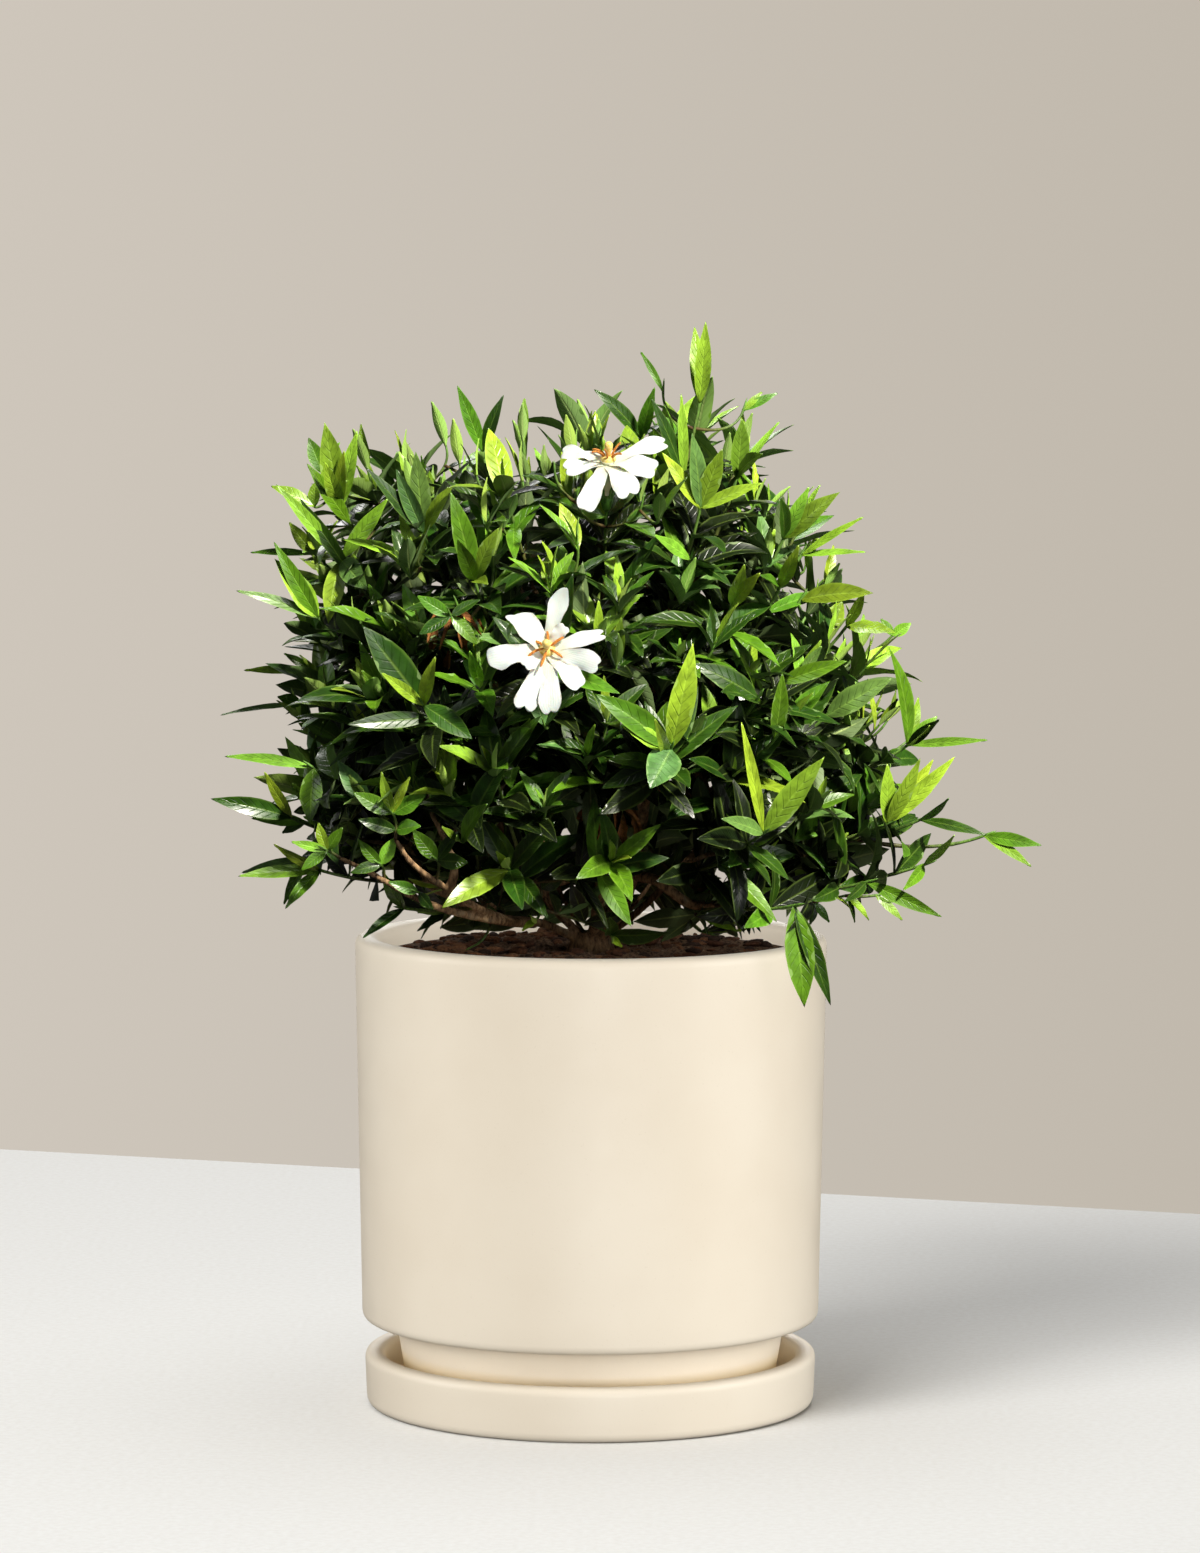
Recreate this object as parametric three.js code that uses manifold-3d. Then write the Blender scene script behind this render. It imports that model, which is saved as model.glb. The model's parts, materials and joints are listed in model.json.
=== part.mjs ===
// A potted gardenia: a dwarf, narrow-leaved bush with two open white flowers, in a cream ceramic
// pot on its saucer. Millimetres, +Z up. The origin is the centre of the saucer's flat underside.
// The plant's front, which the two flowers face, looks along -Y.
import * as THREE from "three";
import { mergeVertices } from "three/addons/utils/BufferGeometryUtils.js";
import Module from "manifold-3d";

const wasm = await Module();
wasm.setup();

// ---------------------------------------------------------------- driving dimensions

const SEED = 20407; // of every random draw
const GAP = 0.3; // left between pieces that touch
const ROUND_SIDES = 36; // of the pot, the saucer and the soil

const SAUCER = {
  radius: 96,
  height: 23,
  wall: 8.5,
  floor: 7.3,
  lipRound: 4,
  baseRound: 4,
};
const POT = {
  height: 200, // of the lip above the table
  rimRadius: 100,
  baseRadius: 97,
  bodyBottom: 36.5,
  wall: 10,
  lipRound: 4.5,
  edgeRound: 4,
  footTopRadius: 83,
  footBaseRadius: 78,
  floor: 11.5, // thickness of the bottom
  recess: 2, // depth of the hollow under the foot
  recessRadius: 66,
  drainRadius: 8.5,
};
const SOIL = { top: 191, mound: 2, lump: 1 };
const CROWN = { radius: 11, depth: 26, rise: 9 }; // the woody root crown in the soil

const LEAF = { thickness: 0.9, fold: 0.24 };
const SEEN_LEAF = { shortest: 25, slant: 1.04, bend: 0.25 };
const RULED_LEAF = { shortest: 26, longest: 39, slimmest: 0.24, broadest: 0.31 };
const WHORL = { step: 13, length: 2.4, top: 0.4, sides: 4 }; // leaves grow round the stem here
const WHORLS = 2; // of leaves on a shoot
const RULED_LEAVES = 4; // on each ring shoot
const GREEN_STEM = { baseRadius: 1.0, nodeRadius: 0.8, bud: 4, longestStretch: 22, fork: 0.3 };
const TWIG = { tipRadius: 1.05, growth: 0.42, step: 24, share: 0.4, sag: 2 };
const MAIN_STEM = {
  count: 10,
  firstTurn: 0.5,
  lowest: 252, // of their tops
  rise: 66, // of the tallest above the lowest
  spread: 0.42, // share of the bush's half width that their tops stand out
  stations: [0.18, 0.45, 0.72, 1], // shares of the length
  footRadius: 3,
  footRise: 8,
  wander: 0.14,
};

// The bush's half widths at several heights, left (-X) and right (+X) of the pot's axis.
const LEFT_REACH = [
  [205, 88], [230, 120], [260, 136], [330, 130], [380, 124], [400, 108], [416, 62], [430, 10],
];
const RIGHT_REACH = [
  [205, 84], [230, 122], [260, 140], [290, 142], [330, 125], [380, 98], [405, 78], [430, 30],
];
const DEPTH_SHARE = 0.9; // the bush's depth as a share of its width
const NODE_INSET = 17; // how far a shoot's node lies inside the outline its leaves fill
const HEART_HEIGHT = 232; // shoots grow away from this point on the axis
const UPWARDS = 0.35; // and this much more upwards

// Rings of shoots all round the bush: height of the ring, and shoots in it.
const SHOOT_RINGS = [
  [236, 13], [268, 13], [302, 13], [338, 13], [370, 11], [394, 8], [408, 4],
];
const SPRAY = { shoots: 4, spread: 70 }; // most shoots of a ring spray, and how far they stand apart
const RING_STRAY = { turn: 0.22, height: 9, inset: 7, lean: 0.16 }; // how far a ring shoot may stray
const SPRAY_BASE = { back: 44, share: 0.45, climb: 0.75, follow: 0.9, rise: 24 };
const CLEAR_OF_SEEN = { aside: 21, behind: 25 }; // a ring shoot this near to a front shoot is left out

// The eye that the front shoots are described from: its distance before the axis and its height.
const EYE = { distance: 2325, height: 452 };

const TONES = {
  lime: "#b4cf33",
  light: "#8fb94b",
  olive: "#86a13a",
  mid: "#4f8f26",
  grey: "#6d9468",
  dark: "#24511f",
  brown: "#7a4a22",
};

// ---------------------------------------------------------------- the front shoots

// A leaf's tip as seen from its node (right and up), its width, its tone, and how far its tip
// lies behind its node. Without a depth, a short leaf is a longer one that points at the viewer.
const leaf = (right, up, width, tone, depth = null) => ({ right, up, width, tone, depth });

// A shoot's node as seen on the upright plane through the axis, how far behind that plane it
// really is, and the leaves that show there.
const shoot = (right, height, depth, leaves) => ({ right, height, depth, leaves });

const FRONT_SPRAYS = [
  [
    shoot(-106.4, 381.8, -20, [
      leaf(-6, 34.5, 11, "olive"),
      leaf(8, 31, 7, "lime"),
      leaf(1, 23, 6, "lime"),
      leaf(-5, 18, 7, "lime"),
      leaf(-14, 17, 7, "mid"),
    ]),
  ],
  [
    shoot(-106.4, 360, -40, [
      leaf(-27.7, 29.4, 6, "light"),
      leaf(21, 24, 7, "light"),
      leaf(-4.7, -28.5, 9, "olive"),
      leaf(11, -15, 10, "grey"),
      leaf(-17, 24, 6, "dark"),
    ]),
  ],
  [
    shoot(-116.2, 335, -45, [
      leaf(-16.6, 24.7, 10, "lime"),
      leaf(-18, 31, 7, "mid"),
      leaf(-33.6, 11.5, 5, "grey"),
    ]),
  ],
  [
    shoot(-46.4, 405.6, -10, [leaf(-10, 26.4, 6.5, "mid"), leaf(10.6, 21.7, 6, "dark")]),
  ],
  [
    shoot(-71.5, 371.2, -60, [
      leaf(-2, 33, 9, "grey"),
      leaf(12.3, 19.6, 7, "lime"),
      leaf(-11.5, 25.5, 7, "grey"),
      leaf(-24, 26, 6, "dark"),
    ]),
  ],
  [
    shoot(-49.8, 350.8, -85, [
      leaf(-7.7, 37.4, 9.5, "mid"),
      leaf(10, 21.7, 7.5, "olive"),
      leaf(-7, 16.6, 7, "mid"),
      leaf(6.4, -2.5, 6, "olive"),
    ]),
  ],
  [
    shoot(45.5, 426.1, -10, [leaf(2.6, 32.8, 7, "lime"), leaf(-2.1, 30.6, 7, "lime", 6)]),
    shoot(39.1, 394.6, -25, [leaf(-14, 32.8, 6, "dark"), leaf(-2, 34, 4.5, "lime", -9)]),
  ],
  [
    shoot(20.9, 411.2, -5, [leaf(-19.6, 20, 7, "dark"), leaf(6, 20, 6, "mid")]),
  ],
  [
    shoot(46, 381.8, -60, [
      leaf(-3, 30.6, 8.5, "grey"),
      leaf(9, 23.8, 8.5, "olive"),
      leaf(-17.4, 21.3, 6.5, "lime"),
      leaf(26, 9, 6, "lime"),
    ]),
    shoot(42.1, 360.1, -72, [leaf(-16, 9, 5.5, "light"), leaf(18, -12, 7, "dark")]),
  ],
  [
    shoot(61.3, 394.6, -30, [
      leaf(2.6, 23.8, 8, "olive"),
      leaf(10.6, 8.5, 9, "mid"),
      leaf(17, 23, 3.5, "light", 4),
    ]),
  ],
  [
    shoot(81.3, 369, -30, [
      leaf(23.4, 18.3, 9, "olive"),
      leaf(10, 20.9, 6, "light"),
      leaf(-2.5, 16, 7, "dark"),
    ]),
    shoot(88.9, 362, -12, [leaf(26, 14.5, 3.5, "light"), leaf(26.8, 0, 3.5, "light")]),
  ],
  [
    shoot(80, 348.6, -50, [leaf(9, 15.7, 6, "lime"), leaf(-9, 3.5, 5, "mid")]),
    shoot(88.9, 343.1, -40, [leaf(30, 2.6, 9, "olive")]),
  ],
  [
    shoot(59.6, 340.5, -80, [leaf(4.7, 16.6, 6.5, "lime"), leaf(11, 13.6, 6.5, "lime")]),
  ],
  [
    shoot(108.5, 332, -20, [leaf(6, 14.5, 5.5, "lime"), leaf(20, -4, 8, "olive")]),
  ],
  [
    shoot(134.9, 281.4, -20, [
      leaf(-7.2, 41.7, 9.5, "mid"),
      leaf(8.5, 8, 5, "lime"),
      leaf(32.8, 1, 4, "light"),
      leaf(12, 10.6, 5, "dark"),
    ]),
  ],
  [
    shoot(126.4, 247.8, -45, [
      leaf(-1.3, 25, 7, "lime"),
      leaf(11.5, 27.7, 7, "lime", -10),
      leaf(18.3, 26.8, 7, "lime", 4),
      leaf(26.8, 28.5, 7, "lime", -6),
    ]),
  ],
  [
    shoot(34, 279.7, -118, [
      leaf(9.4, 44, 11, "lime"),
      leaf(-32, 24, 11, "mid"),
      leaf(-20.9, 8, 8, "lime"),
      leaf(-9, -18.3, 14, "grey"),
      leaf(12.3, 25.5, 8, "dark", 10),
      leaf(-30, -18, 8, "dark", 6),
      leaf(-7.7, 11.5, 5, "lime"),
    ]),
  ],
  [
    shoot(71, 301.4, -95, [leaf(-29, 13.6, 10, "dark")]),
    shoot(80, 307.8, -88, [leaf(28, 8, 7, "mid")]),
  ],
  [
    shoot(78.3, 284, -95, [leaf(2.6, 27, 7, "mid")]),
    shoot(100, 293.8, -70, [leaf(26.8, 15.3, 10.5, "grey")]),
  ],
  [
    shoot(73.6, 243.5, -112, [
      leaf(24.7, 32.3, 10, "lime"),
      leaf(-11, 46.8, 5, "lime"),
      leaf(18, 18, 7, "dark", 8),
      leaf(-18.7, 6.8, 7, "grey"),
    ]),
  ],
  [
    shoot(117.9, 222.7, -60, [leaf(30.6, -15.7, 6, "mid"), leaf(-10.7, -9, 5, "dark")]),
    shoot(142.5, 230.3, -50, [leaf(11.5, 12.3, 5, "lime"), leaf(-10, -12, 5, "mid")]),
  ],
  [
    shoot(140.4, 249.5, -30, [leaf(27.2, -6.8, 5, "dark"), leaf(10, 9, 4, "mid")]),
    shoot(167.6, 242.7, -25, [leaf(23, -5.5, 6, "mid"), leaf(19, -13.7, 4.5, "light")]),
  ],
  [
    shoot(87.2, 212.5, -76, [leaf(3, -43.8, 12.5, "mid", 4), leaf(14.5, -43, 8, "dark", 8)]),
  ],
  [
    shoot(-71.5, 298, -105, [
      leaf(-24.7, 33.6, 14, "dark"),
      leaf(21.7, -14.9, 9.5, "dark"),
      leaf(5, 20, 6, "lime"),
      leaf(-17.4, 12.8, 5, "lime"),
      leaf(-32, -10, 7, "dark"),
    ]),
  ],
  [
    shoot(-128, 249.9, -40, [
      leaf(-32.8, 9, 8, "dark"),
      leaf(-26, 3.8, 6, "dark", 8),
      leaf(-10, 19, 5, "lime"),
    ]),
  ],
  [
    shoot(-116.2, 227.4, -50, [
      leaf(-33.6, -2.6, 6, "light"),
      leaf(-19, 9.8, 4.5, "lime"),
      leaf(-12.8, -17.4, 6, "mid"),
    ]),
  ],
  [
    shoot(-118.7, 271.2, -55, [leaf(0, -24.7, 10, "mid"), leaf(-36, 6, 5, "light", 10)]),
    shoot(-114.5, 246.5, -58, [leaf(7.3, -17.5, 7, "dark")]),
  ],
  [
    shoot(-80.4, 211, -62, [leaf(-17, -12.5, 5, "dark"), leaf(-8, 16, 6, "mid")]),
  ],
];

// Withered leaves that hang inside the bush.
const WITHERED = [
  [
    shoot(-57, 340, -92, [
      leaf(-7, -20, 7, "brown", -4),
      leaf(4, -24, 7, "brown", 2),
      leaf(10, -14, 6, "brown", -6),
    ]),
  ],
  [
    shoot(10, 258, -88, [
      leaf(-8, -18, 8, "brown", -4),
      leaf(4, -22, 8, "brown", 2),
      leaf(14, -15, 7, "brown", -6),
    ]),
  ],
];

// The flowers: the mouth of the tube as seen, its depth, the way it faces, and its petals.
// A petal's angle is measured in the flower's own plane, from +X towards the top.
const petal = (angle, length, width, lift = 14, curl = 0.5) => ({
  angle,
  length,
  width,
  lift,
  curl,
});
const FRONT_BLOOM = {
  name: "front_bloom",
  right: -18.7,
  height: 321,
  depth: -128,
  facing: [-0.05, -0.92, 0.38],
  petals: [
    petal(78, 26, 9, 8, 0.2),
    petal(130, 22, 11, 24, 0.9),
    petal(190, 24, 10),
    petal(252, 27, 10, 6, 0.25),
    petal(275, 28, 9.5, 12, 0.25),
    petal(310, 22, 9),
    petal(339, 24, 9, 20),
    petal(16, 26, 7.5, 10, 0.35),
    petal(224, 13, 6.5, 34),
    petal(50, 12, 6, 40),
  ],
};
const TOP_BLOOM = {
  name: "top_bloom",
  right: 6.8,
  height: 401,
  depth: -66,
  facing: [0.03, -0.6, 0.8],
  petals: [
    petal(22, 26, 12, 22, 0.4),
    petal(70, 22, 10, 24),
    petal(118, 23, 11, 20),
    petal(160, 24, 10, 20),
    petal(196, 23, 11, 14),
    petal(246, 26, 9, 0, 0.6),
    petal(318, 20, 11, 12),
    petal(352, 23, 11, 16),
  ],
};
const TUBE = { length: 21, baseRadius: 1.9, mouthRadius: 3.4, sides: 8 };
const PETAL_THICKNESS = 0.9;
const HEART = { stigma: 8, stigmaRadius: 1.5, anthers: 5, anther: 7.5, antherWidth: 1.5, rise: 36 };

// A low brown branch, as seen, that leaves the soil at the left of the crown.
const LOW_BRANCH = [
  [-21, 204.5, -12],
  [-42, 207, -26],
  [-60, 216, -38],
  [-80, 230, -46],
  [-92, 246, -48],
];

// ---------------------------------------------------------------- small helpers

const UP = new THREE.Vector3(0, 0, 1);
const RING_START = new THREE.Vector3(0.31, 0.43, 0.84);
const TO_EYE = new THREE.Vector3(0, -1, 0.1).normalize();
const GOLDEN_ANGLE = Math.PI * (3 - Math.sqrt(5));
const GOLDEN_SHARE = 0.618;
const vec = (x, y, z) => new THREE.Vector3(x, y, z);
const radians = THREE.MathUtils.degToRad;
const lerp = THREE.MathUtils.lerp;

// A random number from 0 to 1 that depends only on its whole-number keys.
function chance(...keys) {
  let h = SEED;
  for (const key of keys) {
    h = Math.imul(h ^ (key + 0x9e3779b9), 0x85ebca6b);
    h ^= h >>> 13;
    h = Math.imul(h, 0xc2b2ae35);
    h ^= h >>> 16;
  }
  return (h >>> 0) / 4294967296;
}

const between = (low, high, ...keys) => lerp(low, high, chance(...keys));

// The part of v that is square to the unit vector axis, at length 1.
function squareTo(v, axis) {
  return v.clone().addScaledVector(axis, -v.dot(axis)).normalize();
}

// Where a point seen on the plane y = 0 really is, once its depth is known.
function seenAt(right, height, depth) {
  const scale = (EYE.distance + depth) / EYE.distance;
  return vec(right * scale, depth, EYE.height + (height - EYE.height) * scale);
}

// The value of a list of [key, value] pairs at a key between them.
function along(pairs, key) {
  const next = pairs.findIndex(([k]) => k >= key);
  if (next === 0) return pairs[0][1];
  if (next < 0) return pairs[pairs.length - 1][1];
  const [[k0, v0], [k1, v1]] = [pairs[next - 1], pairs[next]];
  return lerp(v0, v1, (key - k0) / (k1 - k0));
}

// The outline's distance from the axis at a height and an azimuth.
function reach(height, azimuth) {
  const side = Math.cos(azimuth) < 0 ? LEFT_REACH : RIGHT_REACH;
  const wide = along(side, height);
  const deep = (DEPTH_SHARE * (along(LEFT_REACH, height) + along(RIGHT_REACH, height))) / 2;
  return 1 / Math.hypot(Math.cos(azimuth) / wide, Math.sin(azimuth) / deep);
}

// ---------------------------------------------------------------- solids

// A closed geometry as a solid that faces out.
function solidOf(geometry) {
  const bare = geometry.clone();
  bare.deleteAttribute("normal");
  bare.deleteAttribute("uv");
  const merged = mergeVertices(bare, 1e-4);
  const index = merged.index.array;
  const triVerts = [];
  for (let i = 0; i < index.length; i += 3) {
    const [a, b, c] = index.slice(i, i + 3);
    if (a !== b && b !== c && c !== a) triVerts.push(a, b, c);
  }
  const build = (corners) =>
    new wasm.Manifold(
      new wasm.Mesh({
        numProp: 3,
        vertProperties: new Float32Array(merged.attributes.position.array),
        triVerts: new Uint32Array(corners),
      }),
    );
  const solid = build(triVerts);
  return solid.volume() > 0 ? solid : build(triVerts.reverse());
}

// A solid as a geometry for a mesh.
function geometryOf(solid) {
  const mesh = solid.getMesh();
  const geometry = new THREE.BufferGeometry();
  geometry.setAttribute("position", new THREE.BufferAttribute(mesh.vertProperties, 3));
  geometry.setIndex(new THREE.BufferAttribute(mesh.triVerts, 1));
  geometry.computeVertexNormals();
  return geometry;
}

const HAIR = 1e-3;

// The faces of a skin over rings of points, with flat ends, or pointed where a tip is given.
// In a mirrored skin the second half of each ring is split as the first half's mirror image.
// An open skin has no flat end at its first ring, and a face that skip names is left out.
function shell(rings, { tip = null, mirrored = false, open = false, skip = () => false } = {}) {
  const sides = rings[0].length;
  const points = rings.flat();
  const faces = [];
  for (let ring = 0; ring + 1 < rings.length; ring++) {
    for (let i = 0; i < sides; i++) {
      if (skip(ring, i)) continue;
      const j = (i + 1) % sides;
      const [a, b] = [ring * sides + i, ring * sides + j];
      const [c, d] = [a + sides, b + sides];
      if (mirrored && i >= sides / 2) faces.push(a, b, c, b, d, c);
      else faces.push(a, b, d, a, d, c);
    }
  }
  const last = (rings.length - 1) * sides;
  if (!open) for (let i = 1; i + 1 < sides; i++) faces.push(0, i + 1, i);
  if (tip) {
    points.push(tip);
    const apex = points.length - 1;
    for (let i = 0; i < sides; i++) faces.push(last + i, last + ((i + 1) % sides), apex);
  } else {
    for (let i = 1; i + 1 < sides; i++) faces.push(last, last + i, last + i + 1);
  }
  return { points, faces };
}

// One solid from shells that share their open edges.
function weld(shells) {
  const points = [];
  const faces = [];
  for (const part of shells) {
    const first = points.length;
    points.push(...part.points);
    faces.push(...part.faces.map((corner) => corner + first));
  }
  const geometry = new THREE.BufferGeometry().setFromPoints(points);
  geometry.setIndex(faces);
  return solidOf(geometry);
}

const skin = (rings, options) => weld([shell(rings, options)]);

// How many times a closed shell winds round a point: once inside it, and not at all outside.
function winding(point, { points, faces }) {
  let angle = 0;
  for (let i = 0; i < faces.length; i += 3) {
    const [a, b, c] = [0, 1, 2].map((k) => points[faces[i + k]].clone().sub(point));
    const spans = a.length() * b.length() * c.length();
    const turns = a.dot(b) * c.length() + b.dot(c) * a.length() + c.dot(a) * b.length();
    angle += 2 * Math.atan2(a.dot(b.cross(c)), spans + turns);
  }
  return angle / (4 * Math.PI);
}

// True if a closed shell passes nowhere through itself: behind each face is inside, before it out.
function isSound(closed) {
  const { points, faces } = closed;
  const found = new Set();
  for (let i = 0; i < faces.length; i += 3) {
    const [a, b, c] = [0, 1, 2].map((k) => points[faces[i + k]]);
    const centre = vec(0, 0, 0).add(a).add(b).add(c).divideScalar(3);
    const normal = b.clone().sub(a).cross(c.clone().sub(a)).normalize();
    const at = (step) => Math.round(winding(centre.clone().addScaledVector(normal, step), closed));
    found.add(`${at(-HAIR)} ${at(HAIR)}`);
  }
  return found.size === 1 && (found.has("1 0") || found.has("0 -1"));
}

// Rings of points round a line of points, turned as little as can be from the last ring's start.
function ringsAlong(points, radii, sides, start) {
  const ahead = points.map((_, i) => {
    const before = points[Math.max(i - 1, 0)];
    const after = points[Math.min(i + 1, points.length - 1)];
    return after.clone().sub(before).normalize();
  });
  const rings = [];
  let across = start;
  for (let i = points.length - 1; i >= 0; i--) {
    across = squareTo(across, ahead[i]);
    const other = ahead[i].clone().cross(across);
    rings[i] = Array.from({ length: sides }, (_, k) => {
      const turn = (2 * Math.PI * k) / sides;
      return points[i]
        .clone()
        .addScaledVector(across, radii[i] * Math.cos(turn))
        .addScaledVector(other, radii[i] * Math.sin(turn));
    });
  }
  return rings;
}

// A tube of changing radius through points, with flat ends or a pointed tip.
function tube(points, radii, sides, tip = null) {
  return skin(ringsAlong(points, radii, sides, RING_START), { tip });
}

// A solid of revolution from a profile of [radius, height] corners. A corner's third value
// rounds it to that radius, in a few straight steps. An open profile starts and ends on the axis.
function turned(corners, { closed = false, steps = 2 } = {}) {
  const profile = [];
  corners.forEach(([r, z, round], i) => {
    if (!round) {
      profile.push(new THREE.Vector2(r, z));
      return;
    }
    const here = new THREE.Vector2(r, z);
    const before = corners[(i + corners.length - 1) % corners.length];
    const after = corners[(i + 1) % corners.length];
    const start = new THREE.Vector2(before[0], before[1]).sub(here).setLength(round).add(here);
    const end = new THREE.Vector2(after[0], after[1]).sub(here).setLength(round).add(here);
    const curve = new THREE.QuadraticBezierCurve(start, here, end);
    profile.push(...curve.getPoints(steps));
  });
  if (closed) profile.push(profile[0].clone());
  return solidOf(new THREE.LatheGeometry(profile, ROUND_SIDES).rotateX(Math.PI / 2));
}

// ---------------------------------------------------------------- saucer, pot and soil

function makeSaucer() {
  const inside = SAUCER.radius - SAUCER.wall;
  return turned([
    [0, 0],
    [SAUCER.radius - 1, 0, SAUCER.baseRound],
    [SAUCER.radius, SAUCER.height, SAUCER.lipRound],
    [inside, SAUCER.height, SAUCER.lipRound],
    [inside - 1, SAUCER.floor, SAUCER.lipRound],
    [0, SAUCER.floor],
  ]);
}

// The pot's cavity, drawn in by a margin where the soil fills it.
function cavity(margin) {
  const step = POT.bodyBottom + POT.wall;
  const inset = POT.wall + margin;
  return {
    top: POT.rimRadius - inset,
    stepRadius: POT.baseRadius - inset,
    stepTop: step + 8,
    footRadius: POT.footTopRadius - inset,
    footTop: step + margin / 2,
    baseRadius: POT.footBaseRadius - inset,
    floor: SAUCER.floor + GAP + POT.floor + margin,
  };
}

function makePot() {
  const base = SAUCER.floor + GAP;
  const inner = cavity(0);
  return turned(
    [
      [POT.drainRadius, base + POT.recess],
      [POT.recessRadius, base + POT.recess],
      [POT.recessRadius + 2, base],
      [POT.footBaseRadius, base, 2],
      [POT.footTopRadius, POT.bodyBottom + 1],
      [POT.baseRadius, POT.bodyBottom, POT.edgeRound],
      [POT.rimRadius, POT.height, POT.lipRound],
      [inner.top, POT.height, POT.lipRound],
      [inner.stepRadius, inner.stepTop],
      [inner.footRadius, inner.footTop],
      [inner.baseRadius, inner.floor],
      [POT.drainRadius, inner.floor],
    ],
    { closed: true },
  );
}

// Height of the soil's lumps above its even surface.
function soilRelief(x, y) {
  const lumps = Math.sin(x * 0.21 + 1.3) * Math.cos(y * 0.24 - 0.4);
  const bits = Math.sin(x * 0.43 + y * 0.37) * Math.cos(y * 0.31 - x * 0.19 + 2);
  return SOIL.lump * (lumps + bits);
}

function makeSoil(crown) {
  const inner = cavity(GAP + 0.1);
  const topRadii = [inner.top, 76, 60, 44, 28, 14];
  const profile = [
    [0, inner.floor],
    [inner.baseRadius, inner.floor],
    [inner.footRadius, inner.footTop],
    [inner.stepRadius, inner.stepTop],
    ...topRadii.map((r) => [r, SOIL.top]),
    [0, SOIL.top],
  ].map(([r, z]) => new THREE.Vector2(r, z));
  const geometry = new THREE.LatheGeometry(profile, ROUND_SIDES).rotateX(Math.PI / 2);
  const position = geometry.attributes.position;
  for (let i = 0; i < position.count; i++) {
    if (position.getZ(i) < SOIL.top - 1) continue;
    const [x, y] = [position.getX(i), position.getY(i)];
    const inward = 1 - Math.min(Math.hypot(x, y) / inner.top, 1);
    const calm = Math.min(1, inward * 4);
    position.setZ(i, SOIL.top + SOIL.mound * inward + calm * soilRelief(x, y));
  }
  return solidOf(geometry).subtract(crown);
}

// The root crown, or the plain hole in the soil that it stands in.
function crownSolid(margin) {
  const floor = SOIL.top - CROWN.depth - margin;
  const radius = CROWN.radius + margin * 1.1;
  const heights = [floor, SOIL.top - 8, SOIL.top + CROWN.rise + margin * 20];
  const radii = [radius * 0.6, radius, radius * 0.92];
  return tube(heights.map((z) => vec(0, 0, z)), radii, 9);
}

// ---------------------------------------------------------------- blades

// Stations along a blade: share of the length, and share of the half width there.
const LEAF_OUTLINE = [[0.3, 0.9], [0.62, 0.86]];
const BIG_LEAF_OUTLINE = [[0.2, 0.62], [0.45, 1], [0.74, 0.64]];
const PETAL_OUTLINE = [[0, 0], [0.34, 0.6], [0.68, 1], [0.93, 0.62]];
const ANTHER_OUTLINE = [[0, 0], [0.6, 1]];
const BIG_LEAF = 40; // a leaf as long as this has one more station

// The rings and the tip of a blade that grows from root towards ahead, with its upper face towards
// face. It bends away from that face by bend radians over its length, and its halves fold up.
function bladeRings({ root, ahead, face, length, width, bend, fold, thickness, outline }) {
  const normal = squareTo(face, ahead);
  const side = ahead.clone().cross(normal);
  const turn = Math.abs(bend) < 0.02 ? 0.02 : bend;
  const spine = (t) =>
    root
      .clone()
      .addScaledVector(ahead, (length * Math.sin(turn * t)) / turn)
      .addScaledVector(normal, (-length * (1 - Math.cos(turn * t))) / turn);
  const upper = (t) =>
    normal
      .clone()
      .multiplyScalar(Math.cos(turn * t))
      .addScaledVector(ahead, Math.sin(turn * t));
  const rings = outline.map(([t, share]) => {
    const [centre, above] = [spine(t), upper(t)];
    const half = Math.max((width / 2) * share, thickness / 2);
    const lift = t > 0 ? fold * half : 0;
    return [
      centre.clone().addScaledVector(side, -half).addScaledVector(above, lift),
      centre.clone().addScaledVector(above, thickness / 2),
      centre.clone().addScaledVector(side, half).addScaledVector(above, lift),
      centre.clone().addScaledVector(above, -thickness / 2),
    ];
  });
  return { rings, tip: spine(1) };
}

// A blade as a solid of its own.
function blade(shape) {
  const { rings, tip } = bladeRings(shape);
  return skin(rings, { tip, mirrored: true });
}

// ---------------------------------------------------------------- the plan of the shoots

// A front shoot as a plan: where its node and its leaves' tips are.
function planSeenShoot({ right, height, depth, leaves }) {
  const node = seenAt(right, height, depth);
  const ahead = growth(node);
  const plan = { node, ahead, leaves: [], seen: true };
  for (const { right: dx, up: dz, width, tone, depth: dy } of leaves) {
    const shown = Math.hypot(dx, dz);
    const whole = Math.max(shown * SEEN_LEAF.slant, SEEN_LEAF.shortest);
    const towards = -Math.sqrt(whole * whole - shown * shown);
    const tip = seenAt(right + dx, height + dz, depth + (dy ?? towards));
    plan.leaves.push({ tip, width, tone });
  }
  return plan;
}

// The way a shoot at this place grows: away from the bush's heart, and a little more upwards.
function growth(node) {
  const outwards = vec(node.x, node.y, node.z - HEART_HEIGHT).normalize();
  return outwards.addScaledVector(UP, UPWARDS).normalize();
}

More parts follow.
